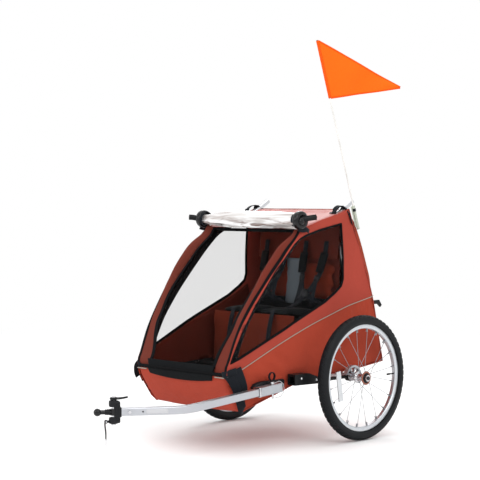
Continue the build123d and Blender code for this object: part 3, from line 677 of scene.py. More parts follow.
path = [W(XS(y, z) + 0.9, y, z) for y, z in resample(WIN, 8.0)]
wb_l = sweep("window_binding_left", path, strap_section(0.0055, 0.0022), Vector((1, 0, 0)), M_BIND, True)
wb_r = flipped(wb_l, "window_binding_right")
wi_l = sweep("window_lining_left", [p_ - Vector((0.0032, 0, 0)) for p_ in path], strap_section(0.013, 0.0016), Vector((1, 0, 0)), M_BIND, True)
wi_r = flipped(wi_l, "window_lining_right")
path = catmull([W(XS(y, z) + 1.4, y, z) for y, z in [(p[0], p[1]) for p in PIPE]], 0.008)
pp_l = sweep("side_piping_left", path, ring(0.0018, 8), Vector((1, 0, 0)), M_PIPE)
pp_r = flipped(pp_l, "side_piping_right")
hem = [(245, 292), (100, 275), (-70, 262), (-146, 252), (-259, 244), (-371, 212), (-500, 170), (-546, 154)]
path = catmull([W(XS(y, z) - 0.5, y, z - 0.5) for y, z in hem], 0.01)
hem_l = sweep("belly_binding_left", path, strap_section(0.010, 0.0026), Vector((0.6, 0, -1)), M_BELLY)
hem_r = flipped(hem_l, "belly_binding_right")
# corner tape down the rear edge of the cabin
path = catmull([W(XS(y, z) + 0.6, y - 1, z) for y, z in [(46, 922), (79, 826), (130, 690), (181, 554), (213, 424), (245, 292)]], 0.01)
rt_l = sweep("rear_seam_left", path, strap_section(0.007, 0.0022), Vector((1, 0.7, 0)), M_SIDE)
rt_r = flipped(rt_l, "rear_seam_right")
blended = [side_l, side_r, win_l, win_r, wb_l, wb_r, wi_l, wi_r, pp_l, pp_r, rt_l, rt_r]


# ---- front cover
def pil(s):
    """point (y, z), s 0..1 up the front pillar"""
    return PIL[min(len(PIL) - 1, int(s * (len(PIL) - 1)))]


PIL = [(v.y, v.z) for v in catmull([Vector((0, y, z)) for y, z in PILLAR], 5.0)]
acc = [0.0]
for a, b in zip(PIL, PIL[1:]):
    acc.append(acc[-1] + math.hypot(b[0] - a[0], b[1] - a[1]))
PL = acc[-1]


def pilp(s):
    d = cl(s) * PL
    for i in range(len(acc) - 1):
        if acc[i + 1] >= d:
            t = (d - acc[i]) / (acc[i + 1] - acc[i])
            return (PIL[i][0] + (PIL[i + 1][0] - PIL[i][0]) * t, PIL[i][1] + (PIL[i + 1][1] - PIL[i][1]) * t)
    return PIL[-1]


def piln(s):
    a, b = pilp(max(0, s - 0.01)), pilp(min(1, s + 0.01))
    ty, tz = b[0] - a[0], b[1] - a[1]
    L = math.hypot(ty, tz)
    return (-tz / L, ty / L)


def xin(z):
    return 184 + 36 * sm((z - 345) / 150) + 13 * sm((z - 490) / 120)


def puff(z):
    """how far the padded border stands forward of the corner seam"""
    return 2 + 9 * sm((z - 430) / 110) + 23 * sm((z - 520) / 180) - 17 * sm((z - 735) / 100)


def edge_n(z):
    return -5 + 12 * sm((z - 430) / 180) - 12 * sm((z - 740) / 90)


def front_pt(x, s, lift=0.0):
    y, z = pilp(s)
    n = piln(s)
    xe = XS(y, z)
    xi = xin(z)
    ax = abs(x)
    if ax <= xi:
        d = edge_n(z) - 6.0 * (1 - (ax / xi) ** 2.2) * math.sin(math.pi * cl(s * 1.02))
    else:
        t = min(1.0, (ax - xi) / (xe - xi))
        d = edge_n(z) * (1 - t) + puff(z) * math.sin(math.pi * t) ** 0.75 - 1.5 * t
    return W(x, y + n[0] * (d + lift), z + n[1] * (d + lift))


def bandw(z):
    return 11.0 - 6.5 * sm(puff(z) / 26)


def border_fn(u, v):
    y, z = pilp(u)
    a, b = xin(z) - 3, XS(y, z) - 1.0 - bandw(z)
    return front_pt(a + (b - a) * v, u, 1.4 * noise.noise(Vector((u * 9, v * 2, 5))))


nb = 110
bl = thick(grid("front_border_left", border_fn, nb, 10, M_BORDER), 0.0012)
br = flipped(bl, "front_border_right")
# the right-hand border takes the lighter copy of the same coral: painted light
br.data.materials[0] = M_BORDER_PAINTED_LIT


def edge_strip(u, v):
    y, z = pilp(u)
    return front_pt(XS(y, z) - 2.2 + 2.7 * v, u, 0.3)


es_l = thick(grid("corner_edge_left", edge_strip, nb, 6, M_SIDE), 0.0014)
es_r = flipped(es_l, "corner_edge_right")


def band_strip(u, v):
    y, z = pilp(u)
    return front_pt(XS(y, z) - 1.6 - bandw(z) + bandw(z) * v, u, 1.3 + 1.2 * math.sin(math.pi * v))
S_TOP = 0.985


def net_fn(u, v):
    s = 0.045 + (S_TOP - 0.045) * u
    y, z = pilp(s)
    a = xin(z) + 3
    return front_pt(-a + 2 * a * v, s, 0.0)


net = thick(grid("front_net", net_fn, nb, 44, M_NET), 0.0008)
path = [front_pt(xin(pilp(s)[1]) - 3.5, s, 1.8) for s in [i / 70 for i in range(2, 71)]]
fb_l = sweep("front_binding_left", path, strap_section(0.017, 0.0028), lambda i, t: Vector((0, -0.8, 0.6)), M_BIND)
fb_r = flipped(fb_l, "front_binding_right")


cb_l = thick(grid("corner_band_left", band_strip, nb, 8, M_BIND), 0.0018)
cb_r = flipped(cb_l, "corner_band_right")


def top_fn(u, v):
    s = 0.990 + 0.008 * u
    y, z = pilp(s)
    a = xin(z) + 1
    return front_pt(-a + 2 * a * v, s, 1.2)


topstrip = thick(grid("front_header_strip", top_fn, 6, 60, M_BIND), 0.0014)
xbar = tube("front_cross_tube", [W(-242, -226, 836), W(-120, -226, 836), W(120, -226, 836), W(242, -226, 836)], 0.0062, M_BIND, 0.02, seg=16)
RP = [(-588, 326), (-572, 398), (-520, 496), (-440, 598), (-330, 718), (-228, 822), (-150, 853), (-30, 880), (40, 921)]
sl_path = [W(240, y, z) for y, z in [(-584, 345), (-578, 372), (-566, 404), (-543, 452), (-518, 496), (-480, 548), (-440, 598), (-385, 659), (-330, 717), (-280, 767), (-236, 806),
                                     (-212, 824), (-180, 840), (-150, 851), (-100, 864), (-60, 873), (-26, 884), (0, 898)]]
sleeve_l = sweep("tube_sleeve_left", catmull(sl_path, 0.008), ring(0.0142, 16), Vector((1, 0, 0)), M_BIND, caps=False)
thick(sleeve_l, 0.0008, 0)
sleeve_r = flipped(sleeve_l, "tube_sleeve_right")
blended += [bl, br, net, fb_l, fb_r, cb_l, cb_r, es_l, es_r, topstrip]


# ---- black windscreen foot and its lip (no lettering)
def foot_fn(u, v):
    # u up, v across
    z = 297 + 36 * u
    half = 180 + 12 * u
    x = -half + 2 * half * v
    f = abs(x) / 262
    y = -636 - 3.0 * (1 - f ** 2) + 4 * u
    return W(x, y - 2.0, z)


foot = thick(grid("windscreen_foot", foot_fn, 8, 60, M_BLACKF), 0.002)


def lip_fn(u, v):
    half = 186 - 8 * u
    x = -half + 2 * half * v
    drop = 31 - 11 * (2 * v - 1) ** 2
    z = 296 - drop * u
    y = -642.5 + 7.0 * u - 2 * math.sin(math.pi * v)
    return W(x, y, z)


lip = thick(grid("windscreen_lip", lip_fn, 6, 60, M_BLACKF), 0.002)

# ---- bumper and belly
BUMP = [(-634.5, 300), (-631, 284), (-625, 262), (-612, 238), (-592, 205), (-571, 178), (-556, 160), (-536, 156), (-500, 167), (-435, 189), (-371, 209), (-259, 240),
        (-146, 252), (-70, 262), (60, 273), (150, 282), (243, 291)]
BP = catmull([Vector((0, y, z)) for y, z in BUMP], 9.0)


def belly_grid():
    n = len(BP)
    nx = 60
    vs, fs, fm = [], [], []
    for i, p in enumerate(BP):
        a, b = BP[max(i - 1, 0)], BP[min(i + 1, n - 1)]
        t = (b - a).normalized()
        nrm = Vector((0, -t.z, t.y)) * -1
        if nrm.y > 0 and p.y < -560:
            nrm = -nrm
        if p.y >= -560 and nrm.z > 0:
            nrm = -nrm
        for j in range(nx + 1):
            v = -1 + 2 * j / nx
            xe = XS(p.y, p.z) - 0.5
            x = xe * v
            f = abs(v)
            rnd = -10.0 * sm((f - 0.94) / 0.06)
            bul = 5.0 * (1 - f ** 2) + 1.8 * noise.noise(Vector((x * 0.012, i * 0.12, 2)))
            q = p + nrm * (rnd + bul)
            vs.append(W(x, q.y, q.z))
    for i in range(n - 1):
        for j in range(nx):
            fs.append((i * (nx + 1) + j, (i + 1) * (nx + 1) + j, (i + 1) * (nx + 1) + j + 1, i * (nx + 1) + j + 1))
    return mesh_obj("belly_fabric", vs, fs, M_BELLY)


belly = thick(belly_grid(), 0.0014)


def cross_line(name, z, y, r, mat, half=254, n=50, lift=0.0, w=None):
    pts = []
    for i in range(n + 1):
        v = -1 + 2 * i / n
        x = half * v
        pts.append(W(x, y - 5.5 * (1 - v * v) + 9 * sm((abs(v) - 0.94) / 0.06) - lift, z))
    if w:
        return sweep(name, pts, strap_section(w, 0.0028), lambda i, t: Vector((0, -1, -0.25)), mat)
    return sweep(name, pts, ring(r, 8), Vector((0, 0, 1)), mat)


bind_top = cross_line("bumper_top_binding", 302, -634, 0, M_BIND, half=257, lift=2.6, w=0.014)
def side_line(name, z, y, r, mat, x0, x1, lift):
    out = []
    for q in (1, -1):
        pts = [W(q * (x0 + (x1 - x0) * i / 8), y - lift, z) for i in range(9)]
        out.append(sweep(name + str(q), pts, ring(r, 8), Vector((0, 0, 1)), mat))
    return join(name, out)


pipe_f = side_line("bumper_piping", 291, -637.5, 0.0021, M_PIPE, 196, 250, 1.8)
bind_low = cross_line("bumper_lower_seam", 158, -548, 0.0016, M_BIND, half=226, lift=0.0)


# ---- roof and rear panel
def roof_fn(u, v):
    y = -238 + 284 * u
    pts = [(-238, 847), (-120, 881), (0, 909), (46, 924)]
    z = 0
    for (y0, z0), (y1, z1) in zip(pts, pts[1:]):
        if y0 <= y <= y1 + 1e-6:
            z = z0 + (z1 - z0) * (y - y0) / (y1 - y0)
    t = -1 + 2 * v
    xe = XS(y, z)
    f = abs(t)
    sag = -9.0 * (1 - t * t) * math.sin(math.pi * u) ** 0.8
    edge = -9.0 * sm((f - 0.95) / 0.05)
    wr = 1.3 * noise.noise(Vector((t * 5, u * 4, 4)))
    back = -7.0 * sm((u - 0.95) / 0.05)
    return W(xe * t, y, z + sag + edge + wr + back)


roof = thick(grid("roof_fabric", roof_fn, 46, 70, M_ROOF), 0.0012)


def rear_fn(u, v):
    pts = [(46, 920), (79, 826), (130, 690), (181, 554), (213, 424), (245, 292)]
    d = u * 5
    i = min(4, int(d))
    y = pts[i][0] + (pts[i + 1][0] - pts[i][0]) * (d - i)
    z = pts[i][1] + (pts[i + 1][1] - pts[i][1]) * (d - i)
    t = -1 + 2 * v
    xe = XS(y, z)
    b = (5 + 30 * sm((u - 0.02) / 0.14) * (1 - sm((u - 0.46) / 0.16))) * (1 - abs(t) ** 26) + 2.4 * noise.noise(Vector((t * 3, u * 6, 8)))
    b += 1.6 * math.sin(t * 26) * sm((u - 0.6) / 0.4)
    return W(xe * t, y + b * 0.94, z + b * 0.34)


rear = thick(grid("rear_fabric", rear_fn, 50, 60, M_REAR), 0.0012)
blended.append(rear)


def on_rear(t, u, lift=1.6):
    q = rear_fn(u, (t + 1) / 2)
    return q + Vector((0, 0.94, 0.34)) * (lift / 1000)


def line_rear(name, pts, sec, mat):
    return sweep(name, catmull([on_rear(t, u) for t, u in pts], 0.008), sec, Vector((0, 0.94, 0.34)), mat)


NR = 26
rear_pipe = line_rear("rear_piping", [(-0.985 + 1.97 * i / NR, 0.565) for i in range(NR + 1)], ring(0.002, 8), M_PIPE)
fl1 = line_rear("rf1", [(-0.80, 0.62), (-0.80, 0.70), (-0.80, 0.80), (-0.79, 0.88), (-0.74, 0.915), (-0.5, 0.92), (-0.25, 0.92), (0, 0.92), (0.25, 0.92), (0.5, 0.92), (0.74, 0.915),
                        (0.79, 0.88), (0.80, 0.80), (0.80, 0.70), (0.80, 0.62)], strap_section(0.008, 0.0024), M_BIND)
fl2 = line_rear("rf2", [(-0.80 + 1.6 * i / NR, 0.62) for i in range(NR + 1)], strap_section(0.016, 0.0026), M_BIND)
fl3 = line_rear("rf3", [(-0.62, 0.08), (-0.3, 0.075), (0, 0.074), (0.3, 0.075), (0.62, 0.08)], strap_section(0.010, 0.0024), M_BIND)
fl4 = line_rear("rf4", [(-0.88, 0.08), (-0.89, 0.2), (-0.9, 0.3), (-0.9, 0.42), (-0.88, 0.5)], strap_section(0.005, 0.0018), M_REAR)
fl5 = line_rear("rf5", [(0.88, 0.08), (0.89, 0.2), (0.9, 0.3), (0.9, 0.42), (0.88, 0.5)], strap_section(0.005, 0.0018), M_REAR)
tb = [line_rear("rt", [(t, 0.59), (t, 0.66), (t * 1.002, 0.72)], strap_section(0.020, 0.0028), M_WEB) for t in (-0.5, 0.5)]
bkx = [line_rear("rb", [(t, 0.645), (t, 0.685)], strap_section(0.027, 0.007), M_BLKP) for t in (-0.5, 0.5)]
rear_trim = join("rear_trim", [fl1, fl2, fl3, fl4, fl5] + tb + bkx)
blended += [rear_pipe, rear_trim]

# ---- rolled clear cover with end caps
RY, RZ = -254, 879


def roll_fn(u, v):
    x = -268 + 536 * u
    a = 2 * math.pi * v
    e = 4 * u * (1 - u)
    fat = 0.66 + 0.34 * sm(u / 0.35)
    r = 31.5 * fat + 1.8 * noise.noise(Vector((x * 0.007, math.cos(a) * 1.3, math.sin(a) * 1.3)))
    r += 1.5 * math.sin(5 * a + x * 0.006 + 2 * math.sin(x * 0.004))
    r += 0.6 * noise.noise(Vector((x * 0.010, math.cos(a) * 4, math.sin(a) * 4 + 5)))
    r *= 0.95 + 0.05 * e
    r += 4.0 * math.exp(-((a - 4.0 - 0.35 * math.sin(x * 0.008)) / 0.2) ** 2)
    return W(x, RY + r * 1.0 * math.cos(a), RZ - 1.0 + 1.5 * e + r * 1.06 * math.sin(a))


nu, nv = ((170, 110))
vs = [roll_fn(i / nu, j / nv) for i in range(nu + 1) for j in range(nv)]
fs = [(i * nv + j, (i + 1) * nv + j, (i + 1) * nv + (j + 1) % nv, i * nv + (j + 1) % nv) for i in range(nu) for j in range(nv)]
fs.append(tuple(range(nv)))
fs.append(tuple(nu * nv + j for j in range(nv)))
roll = mesh_obj("rolled_cover", vs, fs, M_ROLL)


def capf(name, far=0):
    prof = [(0, 264), (30, 264), (35.5, 266), (36.5, 272), (36.5, 281), (35, 286.5), (28, 289.5), (20, 290), (18.5, 286.5), (12, 286), (0, 286)]
    disc = lathe(name, prof, lambda r, a, h: W(h, RY + r * math.cos(a), RZ + r * math.sin(a)), M_BLKG, 56)
    pts = [W(285, RY + 2, RZ + 4), W(294, RY + 20, RZ + 7), W(304, RY + 38, RZ + 10), W(312, RY + 54, RZ + 12)] if far == 0 else [
        W(285, RY - 2, RZ + 1), W(300, RY - 14, RZ + 3), W(314, RY - 26, RZ + 6), W(326, RY - 36, RZ + 7)]
    stub = sweep(name + "_stub", catmull(pts, 0.004), strap_section(0.015, 0.021), Vector((0, 0.2, 1)), M_BLKP)
    knob = lathe(name + "_k", [(0, 286), (15, 286), (15.5, 290), (13, 295), (6, 297), (0, 297)], lambda r, a, h: W(h, RY - 6 + r * math.cos(a), RZ - 4 + r * math.sin(a)), M_BLKG, 32)
    flap = strap(name + "_f", [W(279, RY - 16, RZ - 33), W(283, RY + 8, RZ - 38), W(284, RY + 30, RZ - 36), W(284, RY + 42, RZ - 44)], 0.02, 0.0024, Vector((1, 0, 0.3)), M_WEB)
    return [disc, stub, knob, flap]


def band_only(name, x):
    pts = [W(x, RY + 30.5 * math.cos(a), RZ + 29.5 * math.sin(a)) for a in [2 * math.pi * i / 40 for i in range(40)]]
    c = W(x, RY, RZ)
    return sweep(name, pts, strap_section(0.018, 0.002), lambda i, t: pts[i] - c, M_WEB, closed=True)


parts_l = capf("roll_cap_left") + [band_only("roll_band_left", 262)]
cap_l = join("roll_cap_left", parts_l)
cap_f = join("roll_cap_far", capf("roll_cap_far", 1) + [band_only("roll_band_far", 262)])
cap_r = flipped(cap_f, "roll_cap_right")
bpy.data.objects.remove(cap_f)

# ---- webbing grab loops on the rear roof corners
gl_pts = [W(252, -30, 903), W(251, -25, 914), W(249, -10, 928), W(246, 12, 935), W(243, 34, 930), W(242, 46, 918)]
gl = strap("grab_loop_left", gl_pts, 0.024, 0.0024, lambda i, t: Vector((0.1, 0.0, 1.0)) if abs(t.z) < 0.7 else Vector((0, -t.z, 0.3)), M_WEB, 0.005)
gl_b = strap("gl_b", [W(246, 30, 935), W(262, 40, 918), W(270, 50, 890), W(271, 62, 862)], 0.02, 0.0022, Vector((1, 0.5, 0.2)), M_WEB, 0.005)
gl_s = sweep("gl_s", catmull([W(240, -30, 905.5), W(240, -22, 907.5)], 0.004), strap_section(0.028, 0.005), Vector((0, 0, 1)), M_BLKP)
grab_l = join("grab_loop_left", [gl, gl_b, gl_s])
grab_r = flipped(grab_l, "grab_loop_right")

# sleeve that holds the flag pole at the rear corner
pl0, ph = W(283, 82, 848), W(283, -164, 1583)
pd = (ph - pl0).normalized()
sleeve = sweep("flag_sleeve", [pl0 + pd * t for t in (-0.008, -0.004, 0.02, 0.05, 0.08, 0.092)],
               lambda s: ring(0.0062 - 0.0006 * math.sin(s * 3.1), 16), Vector((1, 0, 0)), M_SLEEVE)
slv_tab = strap("flag_sleeve_tab", [pl0 + pd * 0.004 + Vector((-0.0045, 0, 0)), pl0 + pd * 0.09 + Vector((-0.0045, 0, 0))], 0.022, 0.002, Vector((1, 0, 0)), M_SLEEVE)
col_ = sweep("fc", [pl0 + pd * t for t in (0.068, 0.071, 0.077, 0.080)], lambda s: ring(0.0066 + 0.0006 * math.sin(s * 3.1), 16), Vector((1, 0, 0)), M_WEB)
fpocket = join("flag_sleeve", [sleeve, slv_tab, col_])

# ------------------------------------------------------------------ flag
F_TOP, F_BOT = ph + pd * 0.002, ph - pd * 0.232
ang = math.radians(20)
fdir = Vector((math.sin(ang), math.cos(ang), 0))
tip = ph - pd * 0.130 + fdir * 0.345
tip.z -= 0.046
nrm = fdir.cross(pd).normalized()


def flag_fn(u, v):
    a = F_TOP.lerp(F_BOT, v) + fdir * 0.0046
    t = tip + (F_TOP - F_BOT).normalized() * 0.004 * (0.5 - v)
    p = a.lerp(t, u)
    w = (0.006 * math.sin(u * 7.0 + v * 2.0) + 0.003 * math.sin(u * 13 + v * 5 + 1)) * sm(u * 3) * (1 - 0.35 * u)
    return p + nrm * w


flag = thick(grid("flag_cloth", flag_fn, 60, 24, M_FLAG), 0.0006)
hem_path = [F_BOT.lerp(F_TOP, i / 24) for i in range(25)]
hem_t = sweep("flag_hem", hem_path, lambda s: [(0.0050 * math.cos(a) * (1 + 0.05 * math.sin(s * 60)), 0.0050 * math.sin(a)) for a in [2 * math.pi * i / 14 for i in range(14)]],
              nrm, M_HEM, caps=False)
thick(hem_t, 0.0006, -1)
st_path = [flag_fn(i / 60, 0.0) + nrm * 0.0006 for i in range(61)]
st2 = [flag_fn(i / 60, 1.0) + nrm * 0.0006 for i in range(61)]
fe1 = sweep("flag_edge_top", st_path, strap_section(0.006, 0.0012), nrm, M_HEM)
fe2 = sweep("flag_edge_low", st2, strap_section(0.006, 0.0012), nrm, M_HEM)
flag_edges = join("flag_edges", [fe1, fe2])
cap_p = lathe("pole_cap", [(0, 0.004), (0.003, 0.0035), (0.0042, 0.001), (0.0044, -0.012), (0.0032, -0.012)],
              lambda r, a, h: ph + pd * h + (Vector((1, 0, 0)) * math.cos(a) + pd.cross(Vector((1, 0, 0))) * math.sin(a)) * r, M_BLKP, 20)

# ------------------------------------------------------------------ seat and interior


def pillow(name, fn, nx, ny, mat, edge=0.35):
    """crowned closed cushion: fn(u, v, side) gives the surface point"""
    vs, fs = [], []
    for s in (0, 1):
        for i in range(nx + 1):
            for j in range(ny + 1):
                vs.append(fn(i / nx, j / ny, s))
    o = (nx + 1) * (ny + 1)
    for i in range(nx):
        for j in range(ny):
            a, b, c, d = i * (ny + 1) + j, (i + 1) * (ny + 1) + j, (i + 1) * (ny + 1) + j + 1, i * (ny + 1) + j + 1
            fs.append((a, b, c, d))
            fs.append((o + a, o + d, o + c, o + b))
    for i in range(nx):
        a, b = i * (ny + 1), (i + 1) * (ny + 1)
        fs.append((a, o + a, o + b, b))
        a, b = a + ny, b + ny
        fs.append((a, b, o + b, o + a))
    for j in range(ny):
        fs.append((j, j + 1, o + j + 1, o + j))
        a = nx * (ny + 1) + j
        fs.append((a, o + a, o + a + 1, a + 1))
    return mesh_obj(name, vs, fs, mat)


def swell(ob, cap, pressure=4.0, voxel=0.005):
    """inflate a closed pad with the cloth solver, then limit how far any point moved"""
    mats = [m for m in ob.data.materials]
    r = ob.modifiers.new("r", "REMESH")
    r.mode = "VOXEL"
    r.voxel_size = voxel
    r.use_smooth_shade = True
    bake(ob)
    start = [v.co.copy() for v in ob.data.vertices]
    c = ob.modifiers.new("c", "CLOTH")
    st = c.settings
    st.quality = 4
    st.mass = 0.25
    st.use_pressure = True
    st.uniform_pressure_force = pressure
    st.tension_stiffness = 12
    st.compression_stiffness = 12
    st.bending_stiffness = 0.4
    st.effector_weights.gravity = 0.0
    c.collision_settings.use_collision = False
    c.collision_settings.use_self_collision = False
    c.point_cache.frame_start = 1
    c.point_cache.frame_end = 20
    for f in range(1, 21):
        scene.frame_set(f)
    bake(ob)
    for v, s in zip(ob.data.vertices, start):
        d = v.co - s
        if d.length > cap:
            v.co = s + d.normalized() * cap
    scene.frame_set(1)
    ob.data.materials.clear()
    for m in mats:
        ob.data.materials.append(m)
    s = ob.modifiers.new("sm", "SMOOTH")
    s.iterations = 3
    s.factor = 0.5
    bake(ob)
    subsurf(ob, 1)
    ob.data.polygons.foreach_set("use_smooth", [True] * len(ob.data.polygons))
    return ob


def seat_half(sgn):
    def fn(u, v, s):
        x = 14 + 176 * u
        y = -232 + 222 * v
        crown = (1 - abs(2 * u - 1) ** 3) * (1 - abs(2 * v - 1) ** 3)
        zb = 505 - 12 * (y + 240) / 250
        z = zb + (14 * crown + 3 if s else -10 * crown)
        ux = 1 - 0.03 * abs(2 * v - 1) ** 2
        return W(sgn * (102 + (x - 102) * ux), y, z)
    return fn


pads = []
for sgn, nm in ((1, "left"), (-1, "right")):
    p = pillow("seat_cushion_" + nm, seat_half(sgn), 22, 24, M_BLACKSEAT)
    pads.append(swell(p, 0.006))


def back_half(sgn):
    def fn(u, v, s):
        x = 12 + 204 * u
        d = v
        y0 = 13 + 14 * d
        z0 = 541 + 170 * d
        crown = (1 - abs(2 * u - 1) ** 3) * (1 - abs(2 * v - 1) ** 4)
        ch = 2.2 * abs(math.sin(v * math.pi * 3))
        off = -(9 * crown + ch * crown) if s == 0 else 4 * crown
        return W(sgn * x, y0 + off, z0)
    return fn


for sgn, nm in ((1, "left"), (-1, "right")):
    p = pillow("seat_back_" + nm, back_half(sgn), 24, 24, M_SEATC)
    pads.append(swell(p, 0.005))


def header_fn(u, v):
    x = -225 + 450 * v
    z = 714 + 148 * u
    y = 24 + 16 * u + 3.0 * noise.noise(Vector((v * 6, u * 2, 1))) + 3 * math.sin(v * 12) * (1 - u)
    return W(x, y, z)


header = thick(grid("seat_header", header_fn, 24, 60, M_INNER), 0.0016)
# grey centre pad between the two places
gp = pillow("centre_pad", lambda u, v, s: W(-50 + 98 * u, 3 + 14 * v + (-(5 * (1 - abs(2 * u - 1) ** 3)) if s == 0 else 2), 528 + 188 * v), 16, 24, M_GREYF)
band_s = thick(grid("seat_edge_band", lambda u, v: W(-232 + 464 * v, -6 + 14 * u + 2 * math.sin(v * 20), 508 + 46 * u), 8, 60, M_BLACKF), 0.002)


def skirt_fn(u, v):
    x = -226 + 452 * v
    z = 500 - 205 * u
    y = -236 - 16 * u + 7 * math.sin(v * 24 + 2 * u) * sm(u * 2) + 4 * noise.noise(Vector((v * 7, u * 3, 6)))
    return W(x, y, z)


skirt = thick(grid("seat_skirt", skirt_fn, 30, 90, M_SEATC), 0.0014)


def back_low_fn(u, v):
    x = -236 + 472 * v
    z = 545 - 235 * u
    y = 22 + 150 * u * 0.55 + 3 * noise.noise(Vector((v * 6, u * 3, 2)))
    return W(x, y, z)


blow = thick(grid("cabin_back_lining", back_low_fn, 16, 40, M_BLACKF), 0.0014)
# lining on the inside of the lower side walls, in coral darkened as painted shade inside the cabin
LIN = [(-604, 330), (-590, 352), (-296, 470), (-110, 545), (0, 600), (12, 560), (150, 540), (178, 330), (150, 312), (-300, 292), (-590, 285)]
lin_l = region("side_lining_left", LIN, [], [], lambda y, z: W(XS(y, z) - 9 + 2.5 * noise.noise(Vector((y * .01, z * .01, 7))), y, z), 16, [M_WALLIN])
thick(lin_l, 0.001)
lin_r = flipped(lin_l, "side_lining_right")
blended += [lin_l, lin_r]


def inner_fn(u, v):
    y, z = pilp(0.985 * u)
    yy = y + 3 + 17 * v
    return W(XS(yy, z) - 6.5 - 2.5 * math.sin(math.pi * v), yy, z - 4 * v)


in_l = thick(grid("inner_edge_left", inner_fn, 110, 6, M_BIND), 0.0012)
in_r = flipped(in_l, "inner_edge_right")
blended += [in_l, in_r]
rail_l = sweep("rail_sleeve_left", catmull([W(240, -592, 272.6), W(240, -400, 281), W(240, -200, 290), W(240, 0, 299), W(240, 190, 308)], 0.03), ring(0.0128, 16), Vector((1, 0, 0)), M_BLACKF, caps=False)
thick(rail_l, 0.0008, 0)
rail_r = flipped(rail_l, "rail_sleeve_right")


def floor_fn(u, v):
    y = -600 + 790 * u
    x = (XS(y, 300) - 12) * (-1 + 2 * v)
    zr = 272 + (y + 600) * 37 / 812
    z = zr - 14 - 40 * math.exp(-((y + 470) / 110) ** 2) * (1 - (2 * v - 1) ** 4) + 2.5 * noise.noise(Vector((u * 9, v * 6, 3)))
    return W(x, y, z)


floor_in = thick(grid("floor_lining", floor_fn, 50, 30, M_BLACKF), 0.0014)

def wall_fn(u, v):
    z = 540 + 325 * u
    x = 225 * (-1 + 2 * v)
    return W(x, 33 + 5 * u + 1.5 * noise.noise(Vector((v * 5, u * 3, 12))), z)


bwall = thick(grid("cabin_back_wall", wall_fn, 16, 50, M_WALLIN), 0.0014)
xs1 = sweep("front_tube_sleeve", [W(-226 + 452 * i / 30, -582, 273) for i in range(31)], lambda s: ring(0.0128 + 0.0006 * math.sin(s * 40), 16), Vector((0, 0, 1)), M_BLACKF, caps=False)
thick(xs1, 0.0008)
xs2 = sweep("middle_tube_sleeve", [W(-226 + 452 * i / 30, -320, 284.8) for i in range(31)], lambda s: ring(0.0128 + 0.0006 * math.sin(s * 46), 16), Vector((0, 0, 1)), M_BLACKF, caps=False)
thick(xs2, 0.0008)
# harness: two five point sets
hw = 0.024


def harness(cx, sg, nm):
    obs = []
    for dx in (-56, 56):
        x0 = cx + dx
        xb = cx + dx * 0.22
        top = [W(x0, 20, 790), W(x0, 12, 745), W(x0 - dx * 0.05, 0, 705), W(x0 - dx * 0.15, -14, 655), W(x0 - dx * 0.45, -34, 610), W(xb, -50, 578)]
        obs.append(strap("hs", top, hw, 0.0022, lambda i, t: Vector((0, -1, 0.15)), M_WEB))
        pad = [W(x0, 8, 742), W(x0 - dx * 0.05, -4, 705), W(x0 - dx * 0.14, -17, 662)]
        obs.append(strap("hp", pad, 0.040, 0.011, lambda i, t: Vector((0, -1, 0.15)), M_BLACKSEAT))
        adj = [W(x0 - dx * 0.20, -20, 648), W(x0 - dx * 0.30, -26, 630)]
        obs.append(strap("ha", adj, 0.030, 0.008, lambda i, t: Vector((0, -1, 0.15)), M_BLKP, 0.004))
        hip = [W(xb, -52, 572), W(cx + dx * 0.9, -48, 552), W(cx + dx * 1.25, -20, 538), W(cx + dx * 1.3, 6, 530)]
        obs.append(strap("hh", hip, hw, 0.0022, lambda i, t: Vector((0, -0.6, 0.8)), M_WEB))
        tail = [W(x0 - dx * 0.28, -27, 632), W(x0 - dx * 0.3, -40, 590), W(x0 - dx * 0.26, -52, 556), W(x0 - dx * 0.2, -58, 536)]
        obs.append(strap("ht", tail, hw * 0.9, 0.0018, lambda i, t: Vector((0, -1, 0.1)), M_WEB))
    crotch = [W(cx, -58, 566), W(cx, -84, 545), W(cx, -118, 531), W(cx, -150, 524)]
    obs.append(strap("hc", crotch, 0.026, 0.0026, lambda i, t: Vector((0, -0.4, 0.9)), M_WEB))
    hang = [W(cx, -236, 520), W(cx + 8, -258, 480), W(cx - 2, -262, 420), W(cx - 14, -258, 350)]
    obs.append(strap("hg", hang, 0.024, 0.002, lambda i, t: Vector((0, -1, 0.05)), M_WEB))
    return join("harness_" + nm, obs)


def buckle(cx, nm):
    obs = []
    prof = [(0, 5), (13, 5), (18, 3.5), (21, 0.5), (21, -3), (18, -5), (0, -5)]
    c = W(cx, -54, 573)
    ax = Vector((0, -0.97, 0.24)).normalized()
    ux = Vector((1, 0, 0))
    uy = ax.cross(ux)
    obs.append(lathe("bk", prof, lambda r, a, h: c + ax * (h / 1000) + (ux * math.cos(a) * 1.0 + uy * math.sin(a) * 1.15) * (r / 1000), M_BLKP, 40))
    obs.append(lathe("bb", [(0, 8), (6, 8), (9, 7), (10, 4), (10, 2)], lambda r, a, h: c + ax * (h / 1000) + (ux * math.cos(a) + uy * math.sin(a)) * (r / 1000), M_REDB, 28))
    return join("harness_buckle_" + nm, obs)


M_REDB = plastic("buckle_button", lin(40, 40, 44), rough=0.3, grain=0.05)
har_l, har_r = harness(112, 1, "left"), harness(-112, -1, "right")
buc_l, buc_r = buckle(112, "left"), buckle(-112, "right")

